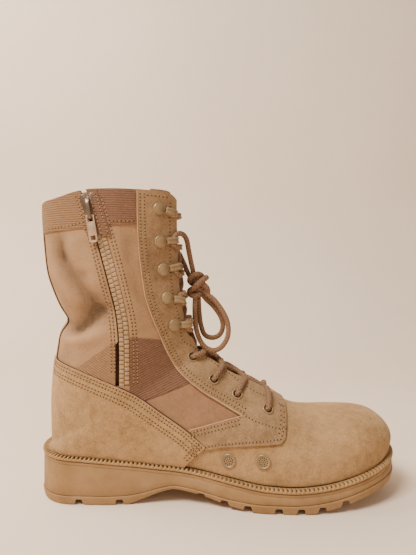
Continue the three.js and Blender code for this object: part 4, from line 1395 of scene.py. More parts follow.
# --- lace
@dataclass
class Lacing:
    """The round lace: its runs through eyelets and hooks, the knot and the hanging loops."""

    radius: float = 2.2
    sides: int = 14
    step: float = 1.1
    crossings: tuple = (
        ((155.5, 84.6), (141, 93.6), 4.4), ((134, 97.6), (122, 105.5), 5),
        ((115.6, 109.6), (104.6, 119.4), 5.4), ((94, 125), (87.4, 138), 6.4),
        ((86, 146), (83.4, 160.5), 11), ((82.4, 168), (81, 183), 12),
        ((80.6, 190), (79, 203.4), 12),
    )
    strand_high: tuple = (
        (78.6, -25, 209.5), (80.2, -22.6, 216.4), (84.2, -15.5, 218.6), (88, -9.5, 215),
        (90, -6.5, 205.5), (91.8, -4.3, 196), (93.4, -2.6, 188.2), (94.8, -2, 180),
    )
    strand_low: tuple = (
        (80.5, 19, 203.5), (83.5, 13.5, 197.5), (86.6, 8.8, 191), (89.6, 4.9, 184.4),
        (94.5, 3, 178),
    )
    loop_outer: tuple = (
        (97, -3.5, 171), (95.6, -4.4, 163), (95.4, -6, 150), (97.2, -7.6, 135),
        (102.8, -8.8, 123.6), (111, -9.2, 119.4), (118.8, -8.6, 122.8), (124, -7.4, 133),
        (122.4, -6, 146.4), (112.8, -4.6, 161.6), (106, -4, 167.4), (101, -3, 172.5),
    )
    loop_inner: tuple = (
        (98.8, 2, 171), (98.4, 2.2, 162.6), (99.2, 2.6, 149), (100.6, 2.8, 139.5),
        (103.9, 3, 131.2), (110.4, 3, 128.6), (116.9, 3, 131.2), (119.8, 2.8, 138.5),
        (118.2, 2.7, 146.5), (112, 2.4, 156), (104.8, 2.2, 163), (100, 2, 170),
    )
    knot_centre: tuple = (98.4, -1.6, 175.6)
    mouth: float = 11.2

    def free_cord(
        self, name: str, points: Points, node: str
    ) -> None:
        """One free stretch of the lace, laid as a tube along its route.

        Args:
            name: the piece's name.
            points: its route in millimetres.
            node: CAD node that it stands for.
        """
        path = smooth_line(points, self.step)
        piece = tube(name, path, self.radius, self.sides, LACE)
        finish_piece(piece, [node])
        lengths(path)[-1] * MM

    def knot(self) -> Object:
        """The knot: fat turns that wrap round a core, one drawn steeply across the front."""
        centre = Vector(self.knot_centre)
        turns = (
            ((-6, 3, 1), (-7.6, -1, 3.6), (-5.2, -4.4, 7.6), (-0.6, -4.2, 9), (3, 0, 7), (1, 3, 3)),
            ((-4, 3, -6), (-7.6, -2.4, -5.6), (-4.4, -6.4, -3), (-0.4, -7.6, 0.4), (3.8, -6.4, 4),
             (6.8, -2, 6), (4, 3, 4)),
            ((1, -2, 2), (4, -5.2, 0.4), (7.6, -3.6, -3.6), (7.4, -0.4, -8), (3, 3, -8.6)),
            ((-5, 3, -4), (-7.4, -1.6, -7.6), (-4, -4.8, -9.6), (0, -3.6, -8.4), (2, 1, -5)),
            ((-6, -1, 4), (-4, 5, 3), (2, 6.4, 0), (6.6, 2, -3.4), (5, -2, -5)),
            ((-6, -1, -5), (-3, 5, -6.4), (3, 5.4, -8), (6, 1, -8.6)),
        )
        coils = [tube("core", [centre + Vector((0, 0.6, 5.6 - 1.2 * k)) for k in range(11)], 4.6,
                      self.sides, LACE)]
        for line in turns:
            path = [centre + Vector(p) for p in smooth_line(line, 1.0)]
            coils.append(tube("coil", path, 2.45, self.sides, LACE))
        knot = join("lace_knot_wound", coils)
        return finish_piece(knot, ["lace_knot"])

    def lay_run(self, n: int, side: Side, points: Sequence[Vector]) -> None:
        """Lays the lace along a run; the zip side's run stands for the crossing in the CAD."""
        path = smooth_line([tuple(p) for p in points], self.step)
        piece = tube(f"lace_run_{n + 1}_{side.label}", path, self.radius, self.sides, LACE)
        finish_piece(piece, [f"lace_cross_{n + 1}"] if side is Side.MEDIAL else [])

    def eyelet_run(self, n: int, side: Side) -> None:
        """A run from one eyelet over its facing, across, and under the other facing.

        Args:
            n: number of the crossing, from 0 at the toe.
            side: side of the lower eyelet.
        """
        other = side.other
        low, high, half = self.crossings[n]
        lx, lz = EYELETS[n]
        hx, hz = EYELETS[n + 1]
        start, out = LAST.at(lx, lz, side)
        end, back = LAST.at(hx, hz, other)
        across = Vector((high[0] - low[0], 0, high[1] - low[1])).normalized()
        rise = Vector((-across.z, 0, across.x))
        if rise.z < 0:
            rise = -rise
        lift = rise * (1.4 if side is Side.MEDIAL else -0.4)
        step, up = (1.0, 11.0) if n == 0 else (6.0, 8.4)
        first = Vector((lx + step, side.value * (half + 6.0), lz + up))
        shoulder = (start + out * 4 + first) / 2 + out * 2.0 + rise * 1.6
        points = [
            start - out * 6,
            start - out * 1.0,
            start + out * 3.4 + (first - start).normalized() * 1.2,
            shoulder,
            first + rise * 3.0,
            Vector((low[0], side.value * half * 0.7, low[1])) + lift + rise * 0.2,
            Vector(((low[0] + high[0]) / 2, 0, (low[1] + high[1]) / 2)) + lift,
            Vector((high[0], other.value * half * 0.8, high[1])) + lift * 0.5 - rise * 0.6,
        ]
        last = Vector((high[0], other.value * (half + 7), high[1]))
        if n == len(EYELETS) - 2:
            last = Vector((hx + 9, last.y, hz + 2.8))
            points += [
                last + rise * 1.2,
                (end + back * 4 + last) / 2 + back * 1.4 + rise * 0.4,
                end + back * 3.2 + (last - end).normalized() * 1.2,
                end - back * 1.0,
                end - back * 6,
            ]
        else:
            points += [last - rise * 4.4, end - back * 5.5]
        self.lay_run(n, side, points)

    def hook_place(self, n: int, side: Side) -> tuple[Vector, Vector]:
        """Where the lace lies in the mouth of a hook, and the way out of the shaft there."""
        x, z = HOOKS[n]
        if side is Side.LATERAL:
            x -= 3
        point, out = LAST.at(x, z, side)
        ahead = (AHEAD - out * out.x).normalized()
        return point + ahead * self.mouth + out * 6.2, out

    def hook_run(self, n: int, side: Side) -> None:
        """A run between the facings: from below, across, to the hook above on the other side.

        Args:
            n: number of the crossing, from 3.
            side: side where it starts.
        """
        other = side.other
        low, high, half = self.crossings[n]
        end, out = self.hook_place(n - 3, other)
        lift = Vector((1.6 if side is Side.MEDIAL else -0.8, 0, 0.6))
        points: list[Vector] = []
        if n == 3:
            start, inward = LAST.at(*EYELETS[3], side)
            points += [start - inward * 5.6, start - inward * 6 + Vector((3, 0, 6))]
        else:
            start, inward = self.hook_place(n - 4, side)
            points += [start + Vector((-1, 0, 2.6)), start + Vector((2.2, side.value * -2.4, 3.2))]
        points += [
            Vector((low[0] + 0.5, side.value * (half + 1.5), low[1])),
            Vector(((low[0] + high[0]) / 2, 0, (low[1] + high[1]) / 2)) + lift,
            Vector((high[0] + 0.5, other.value * (half + 1.5), high[1])),
            end + Vector((1.8, -other.value * 2.6, -4.4)),
            end + Vector((-0.8, 0, -2.6)),
            end + Vector((-1.6, 0, 0.2)),
            end + Vector((-1.0, 0, 2.6)),
        ]
        self.lay_run(n, side, points)

    def build(self) -> None:
        """Builds the free cords first, then the runs."""
        knot = self.knot()
        self.free_cord("lace_strand_outer", self.strand_high, "lace_strand_high")
        self.free_cord("lace_strand_inner", self.strand_low, "lace_strand_low")
        self.free_cord("lace_loop_front", self.loop_outer, "lace_loop_outer")
        self.free_cord("lace_loop_back", self.loop_inner, "lace_loop_inner")
        for n in range(len(self.crossings)):
            for side in Side:
                (self.eyelet_run if n < 3 else self.hook_run)(n, side)
        start, out = LAST.at(*EYELETS[0], Side.MEDIAL)
        end, back = LAST.at(*EYELETS[0], Side.LATERAL)
        down = Vector((-4, 0, -6))
        bar = [start - out, start - out * 6, start - out * 14 + down, end - back * 14 + down,
               end - back * 6, end - back]
        piece = tube(
            "lace_bar_hidden", smooth_line([tuple(p) for p in bar], 2.0), self.radius, 8, LACE
        )
        finish_piece(piece)


# --- sole
@dataclass
class Sole:
    """Outsole with its lugs, midsole wall, knurled welt and insole."""

    stations: int = 150
    lug_depth: float = 4.6
    floor: float = 1.6
    spine: float = 15.0
    notch_foot: float = 8.8
    notch_roof: float = 4.6
    notches: tuple = (3.5, 36, 101, 119.5, 137.5, 161, 178, 194.5, 213)
    grooves: tuple = (20, 110, 128.5, 149, 190, 207)
    groove_reach: float = 10.0
    knurls: int = 204
    knurl_steps: int = 8

    def slab(
        self, name: str, walls: Sequence[Callable[[float], Point2]], material: Material
    ) -> Object:
        """A body with the sole's outline, from wall lines given as inset and level at x.

        Args:
            name: the piece's name.
            walls: lines round the sole, from the lowest up, each as a function of x.
            material: its finish.

        Returns:
            The closed body.
        """
        half = self.stations
        points: list[tuple[float, float, float]] = []
        for wall in walls:
            inset = wall(100.0)[0]
            base = SOLE.outline(inset, half)
            points += [(x, y, wall(x)[1]) for x, y in base]
        count = 2 * half
        faces = ring_faces(len(walls), count)
        for start in (0, (len(walls) - 1) * count):
            for i in range(half):
                quad = [i, i + 1, (count - i - 1) % count, (count - i) % count]
                faces.append(tuple(dict.fromkeys(start + v for v in quad)))
        return tidy(mesh_piece(name, points, faces, [material]), 0.005)

    def channel(self, x: float, low_y: float, high_y: float) -> Object:
        """A bevelled channel across the tread."""
        tread = SOLE.tread.at(x)
        low, high = tread - 2, min(tread + self.lug_depth, SOLE.parting.at(x) - self.floor)
        foot, roof = self.notch_foot / 2, self.notch_roof / 2
        outline = [(x - foot, low), (x + foot, low), (x + roof, high), (x - roof, high)]
        return prism(outline, low_y, high_y, RUBBER)

    def outsole(self) -> None:
        """Tread with notches cut in from both sides and grooves across its middle."""
        part, tread = SOLE.parting, SOLE.tread
        walls = [
            lambda x: (3.4, tread.at(x)),
            lambda x: (1.7, tread.at(x) + 0.35),
            lambda x: (0.8, tread.at(x) + (part.at(x) - tread.at(x)) * 0.5),
            lambda x: (0.35, part.at(x) - 0.75),
            lambda x: (0.75, part.at(x) - 0.15),
            lambda x: (3.0, part.at(x) - 0.15),
        ]
        made = self.slab("outsole_lugged", walls, RUBBER)
        for x in self.notches:
            cut(made, self.channel(x, -80, -self.spine))
            cut(made, self.channel(x, self.spine, 80))
        for x in self.grooves:
            cut(made, self.channel(x, -self.groove_reach, self.groove_reach))
        finish_piece(smooth(made, 35), ["outsole"])

    def midsole(self) -> None:
        """The wall between welt and tread, with the fine lines that run round the forefoot."""
        part, top = SOLE.parting, SOLE.top
        ceiling = SOLE.welt_thick + SOLE.gap

        def line_depth(x: float) -> float:
            """Depth of the forefoot's lines at a place, fading out towards the heel."""
            return min(max((x - 84) / 16, 0.0), 1.0)

        walls: list[Callable[[float], Point2]] = [
            lambda x: (3.5, part.at(x) + 0.15),
            lambda x: (1.25, part.at(x) + 0.15),
            lambda x: (0.85, part.at(x) + 0.7),
            lambda x: (0.9, part.at(x) * 0.62 + (top.at(x) - ceiling) * 0.38),
            lambda x: (1.0, top.at(x) - ceiling - 2.9 - 0.5 * line_depth(x)),
            lambda x: (1.45, top.at(x) - ceiling - 2.6),
            lambda x: (1.0, top.at(x) - ceiling - 2.3 + 0.4 * line_depth(x)),
            lambda x: (0.95, top.at(x) - ceiling - 0.4),
            lambda x: (1.4, top.at(x) - ceiling),
            lambda x: (4.0, top.at(x) - ceiling),
        ]
        made = self.slab("midsole_wall", walls, RUBBER)
        finish_piece(smooth(made, 50), ["midsole"])

    def welt(self) -> None:
        """The welt: a round bead all round, crossed by pressed notches with painted shade in them.
        """
        dense = [*SOLE.outline(0.0, 500)]
        dense.append(dense[0])
        line = even_line(dense, lengths(dense)[-1] / (self.knurls * self.knurl_steps))[:-1]
        count = len(line)
        points: list[tuple[float, float, float]] = []
        for i, (x, y) in enumerate(line):
            a, b = line[i - 1], line[(i + 1) % count]
            reach = dist(a, b)
            out = ((b[1] - a[1]) / reach, -(b[0] - a[0]) / reach)
            top = SOLE.top.at(x)
            heel = min(max((40 - x) / 40, 0.0), 1.0)
            share = (i + 0.5) / self.knurl_steps % 1.0
            ramp = [0.0, 0.28, 0.9, 1.0, 1.0, 0.95, 0.6, 0.12][int(share * self.knurl_steps) % 8]
            press = (1 - ramp) * (1.75 + 0.3 * heel)
            wall = (1 - ramp) * 0.85
            section = [
                (7.9, -3.3), (1.4, -3.4), (0.35, -3.05), (0.0, -2.1), (0.05 + wall, -1.25),
                (0.35 + wall, -0.55 - press * 0.6), (1.1 + wall * 0.6, -0.12 - press),
                (2.2, 0.0 - press), (3.6, -0.05 - press * 0.9), (4.7, -0.35 - press * 0.45),
                (5.6, -0.75), (7.9, -0.8),
            ]
            slant = heel * 1.0
            for inset, rise in section:
                shift = slant * (rise + 1.5)
                points.append(
                    (
                        x - out[0] * inset - out[1] * shift * 0.5,
                        y - out[1] * inset + out[0] * shift * 0.5,
                        top + rise,
                    )
                )
        ring = 12
        faces = ring_faces(count, ring, closed=True)
        made = mesh_piece("welt_knurled", points, faces, [WELT_RUBBER, WELT_GROOVE_SHADE])
        # faces in the bottom of each pressed notch take the painted shade
        for n, face in enumerate(made.data.polygons):
            step, j = n // ring % self.knurl_steps, n % ring
            face.material_index = int(step in (0, self.knurl_steps - 1) and 3 < j < 9)
        tidy(made, 0.001)
        finish_piece(smooth(made, 55), ["welt"])

    def insole(self) -> None:
        """A padded footbed that dips at the heel and rounds up at its edges."""
        low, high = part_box("insole")
        margin = 8.6
        rear, tip = low[0] / MM + 1, high[0] / MM - 1
        count, across = 60, 12
        points, faces = [], []
        for layer in (0, 1):
            for i in range(count + 1):
                x = (rear + tip) / 2 - (tip - rear) / 2 * cos(pi * i / count)
                m = -SOLE.half_width(Side.MEDIAL, x, rear, tip, margin)
                n = SOLE.half_width(Side.LATERAL, x, rear, tip, margin)
                for j in range(across + 1):
                    share = j / across
                    edge = abs(2 * share - 1) ** 4
                    rise = SOLE.top.at(x) + (1.6 + 1.2 * edge if layer else -2.4)
                    points.append((x, m + (n - m) * share, rise))
        wide = across + 1
        size = (count + 1) * wide
        for i in range(count):
            for j in range(across):
                q = (i * wide + j, (i + 1) * wide + j, (i + 1) * wide + j + 1, i * wide + j + 1)
                faces += [q, tuple(size + v for v in reversed(q))]
            for j in (0, across):
                a, b = i * wide + j, (i + 1) * wide + j
                faces.append((a, b, size + b, size + a))
        for j in range(across):
            for i in (0, count):
                a = i * wide + j
                faces.append((a, a + 1, size + a + 1, size + a))
        made = tidy(mesh_piece("footbed_padded", points, faces, [FOOTBED]), 0.01)
        finish_piece(smooth(made, 50), ["insole"])

    def build(self) -> None:
        """Builds the sole from the ground up."""
        self.outsole()
        self.midsole()
        self.welt()
        self.insole()


# --- upper
@dataclass
class Upper:
    """The upper's wall, its overlays, webbing and tongue."""

    wall: float = 2.2
    sunk: float = 0.05  # an overlay's inner face above the form
    tongue_rows: tuple = (
        (163, 71, 15, 4, 3), (151, 80, 18, 8, 4), (135, 90, 20, 12, 5), (115.5, 103, 20, 14, 5),
        (99.5, 116.5, 21, 15, 5), (88, 131, 24, 16, 5), (80.5, 150, 26, 16, 5),
        (77, 175, 27, 16, 5.5), (75, 205, 27, 15, 6), (74, 235, 26, 14, 6),
        (73.8, 250, 25, 13, 5.6), (73.4, 256, 23, 13, 4),
    )

    def clear(self, obj: Object, throat: bool = True, collar: bool = True) -> None:
        """Cuts a layer at the throat and at the collar line."""
        if throat:
            cut(obj, throat_cutter(RAW_EDGE))
        if collar:
            cut(obj, collar_cutter(RAW_EDGE))

    def pierce(self, obj: Object, sides: Iterable[Side]) -> None:
        """Cuts the eyelets' holes."""
        plugs = []
        for side in sides:
            for x, z in EYELETS:
                # the holes' walls take the painted hole shade
                plug = turned("plug", [(0, -9), (3.5, -9), (3.5, 6), (0, 6)], 20, HOLE_SHADE)
                plugs.append(copied("plug", plug, set_on(x, z, side, 0)))
                drop(plug)
        cut(obj, join("plugs", plugs))

    def wall_shell(self) -> None:
        """The base wall, with its panels in their own finishes and lined inside."""
        made = LAST.sheet(
            "upper_wall", 0.0, self.wall, lambda p: True, [SUEDE, LINING, SMOOTH_SUEDE, CANVAS]
        )
        self.clear(made)
        cut(made, zip_band(5.4, CANVAS))
        self.pierce(made, list(Side))
        kinds = list(made.data.materials)
        vamp = [*STRIP_LOW, (170, 60), (174, 84), (176, 120), (300, 120), (300, 0), (60, 0),
                (84, 20), (92, 34)]
        quarter = [(30, 88), (60, 86), (94, 96), (140, 75), (136, 64), (104, 44), (60, 60)]
        for face in made.data.polygons:
            x, z = face.center.x / MM, face.center.z / MM
            if kinds[face.material_index] == SUEDE and not inside(x, z, vamp):
                cloth = SMOOTH_SUEDE if inside(x, z, quarter) else CANVAS
                face.material_index = kinds.index(cloth)
        finish_piece(smooth(made, 38), ["upper"])

    def overlay(
        self,
        name: str,
        outline: Sequence[Point2],
        sides: Sequence[Side],
        material: Material,
        nodes: Sequence[str] = (),
        height: float = PROUD,
        edge: Material = RAW_EDGE,
        throat: bool = False,
        collar: bool = False,
    ) -> None:
        """A panel laid on the wall, cut to a side-view outline.

        Args:
            name: the piece's name.
            outline: closed outline in millimetres.
            sides: the sides that it covers.
            material: its finish.
            nodes: CAD nodes that it stands for.
            height: its outer face above the form.
            edge: finish of its cut edge.
            throat: whether the throat cuts it.
            collar: whether the collar line cuts it.
        """
        xs, zs = [p[0] for p in outline], [p[1] for p in outline]
        box = (min(xs) - 7, max(xs) + 7, min(zs) - 7, max(zs) + 7)

        def keep(p: Vector) -> bool:
            """Whether a face is near enough to matter."""
            near = box[0] < p.x < box[1] and box[2] < p.z < box[3]
            return near and (len(sides) == 2 or p.y * sides[0].value > -2.5)

        made = LAST.sheet(name, height, height - self.sunk, keep, [material])
        low, high = -90.0, 90.0
        if len(sides) == 1:
            low, high = (-90.0, -0.3) if sides[0] is Side.MEDIAL else (0.3, 90.0)
        cut(made, prism(outline, low, high, edge), "INTERSECT")
        self.clear(made, throat, collar)
        if "eyestay" in name:
            self.pierce(made, sides)
        finish_piece(smooth(made, 38), nodes)

    def counter(self) -> None:
        """The heel counter, both sides in one."""
        outline = [*smooth_line(COUNTER_TOP, 2.5), *smooth_line(COUNTER_FRONT, 2.5)[1:],
                   (80, 10), (-60, 10), (-60, 120)]
        self.overlay("counter_panel", outline, list(Side), SUEDE, ["counter"])

    def eyestay(self, side: Side) -> None:
        """Facing, eyestay and the strip that runs back from it, in one panel."""
        outline = [
            *smooth_line(STAY_REAR, 2.5), *smooth_line(STRIP_TOP, 2.5)[1:], (94, 55),
            *smooth_line(((98.4, 45.6), *STRIP_LOW[1:]), 2.0),
            *smooth_line(STAY_FRONT, 2.0)[1:], (150, 128), (112, 170), (112, 262),
        ]
        outline = [p for p in outline if not (p[0] < 104 and 44 < p[1] < 58)]
        k = next(i for i, p in enumerate(outline) if p[0] >= 104 and p[1] < 50)
        outline[k:k] = [(91.6, 59.6), (105.2, 47.4)]
        self.overlay(
            f"eyestay_{side.label}_panel", outline, [side], FACING_SUEDE,
            [f"eyestay_{side.label}"], throat=True, collar=True,
        )

    def band(
        self, name: str, outline: Sequence[Point2], side: Side, material: Material,
        collar: bool = False,
    ) -> None:
        """A band of webbing on one side, its edges in its own finish."""
        self.overlay(
            name, outline, [side], material, height=BAND_PROUD, edge=material,
            collar=collar,
        )

    def bands(self) -> None:
        """Webbing round the collar and across the ankle."""
        behind, before = zip_gap(), zip_edge(5.2)
        low_rear = smooth_line(((-60, 217.5), (-30.7, 218.8), (-4.6, 220), (30, 223.4)), 4)
        rear = [(-60, 258), (-60, 217.5), *[p for p in low_rear if -59 < p[0] < 10],
                *[p for p in behind if p[1] > 205], (-4, 270)]
        self.band("collar_band_rear", rear, Side.MEDIAL, BAND_LIGHT, collar=True)
        low_front = smooth_line(((11, 222.9), (30, 223.2), (56, 223.6)), 4)
        front = [*[p for p in low_front if p[0] > 24.6], (56, 262), (12, 262),
                 *[p for p in before[::-1] if p[1] > 223]]
        self.band("collar_band_front", front, Side.MEDIAL, BAND_DARK, collar=True)
        across = [*low_rear, (56, 223.6), (56, 262), (-60, 262)]
        self.band("collar_band_lateral", across, Side.LATERAL, BAND_LIGHT, collar=True)
        front = [(45.4, 134), (56, 132.6), (72, 130.2), (100, 104), (100, 99), (91.9, 95.8),
                 (72, 88.6), (56.2, 83.5), (42.8, 80), *[p for p in before if 78 < p[1] < 134]]
        self.band("ankle_band_front", front, Side.MEDIAL, BAND_FRONT)
        rear = [(32.4, 130), (16, 119), (-1, 107.4), (-8, 104), (-8, 94), (30, 84), (35.6, 84),
                *[p for p in behind if p[1] < 128]]
        self.band("ankle_band_rear", rear, Side.MEDIAL, BAND_REAR)
        across = [(-8, 103), (-1, 107.4), (16, 119), (34, 131), (46, 134), (56, 132.6), (72, 130.2),
                  (100, 104), (100, 99), (91.9, 95.8), (72, 88.6), (56.2, 83.5), (36, 80), (-8, 92)]
        self.band("ankle_band_lateral", across, Side.LATERAL, BAND_FRONT)

    def backstay(self) -> None:
        """The folded canvas strip that covers the seam up the back of the shaft."""
        made = LAST.sheet(
            "backstay_strip", 0.85, 0.8, lambda p: p.x < 10 and 90 < p.z < 225, [CANVAS]
        )
        half = 11.5
        corners = ((-half, 104), (half, 104), (half, 219.4), (-half, 219.4))
        block = loft("cutter", [[(x, y, z) for y, z in corners] for x in (-60, 6)], CANVAS)
        cut(made, block, "INTERSECT")
        finish_piece(smooth(made, 38))

    def edge_and_shadow_lines(self) -> None:
        """The pale raw edge of the eyestays, and thin painted shadow lines over the counter and
        beside the backstay strip.
        """
        stay = [p for p in smooth_line(STAY_REAR, 2.0) if p[1] < 251]
        for side in Side:
            edges = []
            for line, height, radius, material in (
                (stay, PROUD - 0.15, 0.5, RAW_EDGE),
                (smooth_line(STRIP_TOP, 2.0), PROUD - 0.15, 0.5, RAW_EDGE),
                # painted shadow of the crevice under the counter's top edge
                (beside(smooth_line(COUNTER_TOP, 2.0), 0.3)[4:-2], 0.6, 0.4, SHADOW),
            ):
                spots = [LAST.at(x, z, side) for x, z in line]
                path = [point + out * height for point, out in spots]
                edges.append(tube("edge", path, radius, 6, material))
            # painted shadow along the edge of the backstay strip
            seam = []
            for z in range(106, 219, 3):
                point, out = LAST.behind(side.value * 11.7, z)
                seam.append(point + out * 0.45)
            edges.append(tube("edge", seam, 0.5, 6, SHADOW))
            finish_piece(smooth(join(f"edge_lines_{side.label}", edges), 70))

    def tongue(self) -> None:
        """The padded tongue behind the lacing."""
        rows = smooth_line(self.tongue_rows, 4.0)
        rings = []
        across = 14
        for i, (x, z, half, bow, thick) in enumerate(rows):
            a, b = rows[max(i - 1, 0)], rows[min(i + 1, len(rows) - 1)]
            out = Vector((b[1] - a[1], 0, a[0] - b[0])).normalized()
            front, rear = [], []
            for k in range(across + 1):
                share = 2 * k / across - 1
                edge = 1 - abs(share) ** 3
                spot = Vector((x, half * share, z)) - out * bow * share * share
                front.append(spot + out * (0.4 * edge - thick * 0.3 * (1 - edge)))
                rear.append(spot - out * thick * (0.35 + 0.65 * edge))
            rings.append([*front, *rear[::-1]])
        made = loft("tongue_padded", rings, SMOOTH_SUEDE)
        finish_piece(smooth(made, 60), ["tongue"])

    def build(self) -> None:
        """Builds all panels."""
        self.wall_shell()
        self.counter()
        for side in Side:
            self.eyestay(side)
        self.bands()
        self.backstay()
        self.edge_and_shadow_lines()
        self.tongue()


# --- stitching
PITCH = 2.7  # length of a stitch where a seam has no other


@dataclass
class Stitching:
    """Rows of thread with the needle's holes, as dark spots of painted shade, between stitches."""

    thread: float = 0.4
    hole: float = 0.72

    def row(
        self,
        line: Sequence[Point2],
        side: Side,
        height: float,
        pitch: float = PITCH,
    ) -> list[Object]:
        """One row of stitches along a side-view line, made as two meshes.

        Args:
            line: where it runs, in millimetres.
            side: which side.
            height: of the cloth that it is sewn in, above the form.
            pitch: length of a stitch.

        Returns:
            Its thread and its holes.
        """
        placed = []
        for x, z in even_line(line, pitch):
            point, out = LAST.at(x, z, side)
            placed.append((point + out * height, out))
        points: list[Vector] = []
        faces: list[tuple[int, ...]] = []
        hole_points: list[Vector] = []
        hole_faces: list[tuple[int, ...]] = []
        for (a, out), (b, _) in zip(placed, placed[1:]):
            along = b - a
            if along.length > 2.2 * pitch:
                continue
            across = along.cross(out).normalized()
            first = len(points)
            for share, rise, wide in (
                (0.13, -0.05, 0.55), (0.3, 0.3, 1.0), (0.7, 0.3, 1.0), (0.87, -0.05, 0.55)
            ):
                spot = a + along * share
                for k in range(5):
                    turn = 2 * pi * k / 5 + 0.3
                    reach = self.thread * wide
                    points.append(
                        spot + across * cos(turn) * reach
                        + out * (sin(turn) * reach * 0.8 + rise * self.thread)
                    )
            faces += [tuple(first + v for v in face) for face in ring_faces(4, 5)]
            faces.append(tuple(first + k for k in range(4, -1, -1)))
            faces.append(tuple(first + 15 + k for k in range(5)))
        # each needle hole is a small dark cone of painted shade
        for spot, out in placed:
            first = len(hole_points)
            side_way = out.orthogonal().normalized()
            other_way = out.cross(side_way)
            for k in range(6):
                turn = pi / 3 * k
                hole_points.append(
                    spot + (side_way * cos(turn) + other_way * sin(turn)) * self.hole
                )
            hole_points += [spot + out * 0.12, spot - out * 0.5]
            for k in range(6):
                hole_faces.append((first + k, first + (k + 1) % 6, first + 6))
                hole_faces.append((first + (k + 1) % 6, first + k, first + 7))
        made = [mesh_piece("row", points, faces, [THREAD])] if faces else []
        if hole_faces:
            made.append(mesh_piece("row", hole_points, hole_faces, [HOLE_SHADE]))
        return made

    def sew(self, name: str, rows: Sequence[Sequence[Object]]) -> None:
        """Joins rows into one piece."""
        piece = join(name, [part for row in rows for part in row])
        edit(piece, lambda: bpy.ops.mesh.normals_make_consistent(inside=False))
        finish_piece(smooth(piece, 70))

    def build(self) -> None:
        """Sews every seam."""
        top = smooth_line(COUNTER_TOP, 2.0)
        top = [p for p in top if p[0] > -31]
        front = smooth_line(COUNTER_FRONT, 2.0)
        rear = [p for p in smooth_line(STAY_REAR, 2.0) if p[1] < 250]
        strip = smooth_line(STRIP_TOP, 2.0)
        low = smooth_line(STRIP_LOW, 2.0)
        edge = smooth_line(STAY_FRONT, 2.0)
        for side in Side:
            rows = [self.row(beside(top, -d)[:-1], side, PROUD) for d in (1.8, 4.4, 8.6, 11.2)]
            rows += [self.row(beside(front, -d)[1:10], side, PROUD) for d in (2.4, 5.4)]
            tip = [(99.6, 46.6), (93.5, 41.5)], [(94.2, 48.4), (97.6, 40.6)]
            rows += [self.row(line, side, PROUD, 1.6) for line in tip]
            self.sew(f"stitches_counter_{side.label}", rows)
            rows = [self.row(beside(rear, d), side, PROUD) for d in (2.2, 5.2)]
            face = ((74.4, 243), (74.0, 228), (74.4, 197), (75.2, 181), (77.2, 164),
                    (80.4, 152), (82.4, 140), (84.2, 129.4), (90, 124.6), (97.6, 118.6),
                    (104.8, 112.6), (113.6, 106.2), (127, 97), (143, 86.6), (158, 79.4))
            rows.append(self.row(smooth_line(face, 2.0), side, PROUD, 3.0))
            rows += [self.row(beside(strip, d)[2:], side, PROUD) for d in (2.2, 5.0)]
            rows.append(self.row(beside(low, 2.0)[3:], side, PROUD))
            rows += [self.row(beside(edge, d)[2:-2], side, PROUD) for d in (2.2, 5.0)]
            rows += [
                self.row([(55, 247.6), (72, 247.6)], side, PROUD, 3.0),
                self.row([(134.6, 71.2), (144, 66.8), (158, 62.2), (168, 60.4)], side, PROUD),
            ]
            self.sew(f"stitches_eyestay_{side.label}", rows)
            hem = [(-24, 222), (-4.6, 223), (8, 225.6)] if side is Side.MEDIAL else [
                (-24, 222), (-4.6, 223), (20, 225.6), (46, 226.4)]
            rows = [self.row(smooth_line(hem, 3.0), side, BAND_PROUD, 3.2)]
            if side is Side.MEDIAL:
                rows.append(self.row([(26.5, 226), (47.5, 226.4)], side, BAND_PROUD, 3.2))
            self.sew(f"stitches_collar_{side.label}", rows)
        rows = []
        for away, low in ((-6.6, 106), (-9.2, 106), (8.0, 96), (10.6, 96)):
            line = [p for p in zip_edge(away, 2.0) if low < p[1] < 246]
            # where a band's webbing crosses the row, it is sewn through the webbing
            steps = (low, 128 if away < 0 else 132, 219 if away < 0 else 222, 250)
            for k, (start, end) in enumerate(zip(steps, steps[1:])):
                part = [p for p in line if start <= p[1] < end]
                rows.append(self.row(part, Side.MEDIAL, 0.05 if k == 1 else BAND_PROUD, 3.0))
        for away in (2.2, 7.2):
            line = [p for p in zip_edge(away, 2.0) if 215 < p[1] < 247]
            rows.append(self.row(line, Side.MEDIAL, 1.3, 3.0))
        self.sew("stitches_zip", rows)


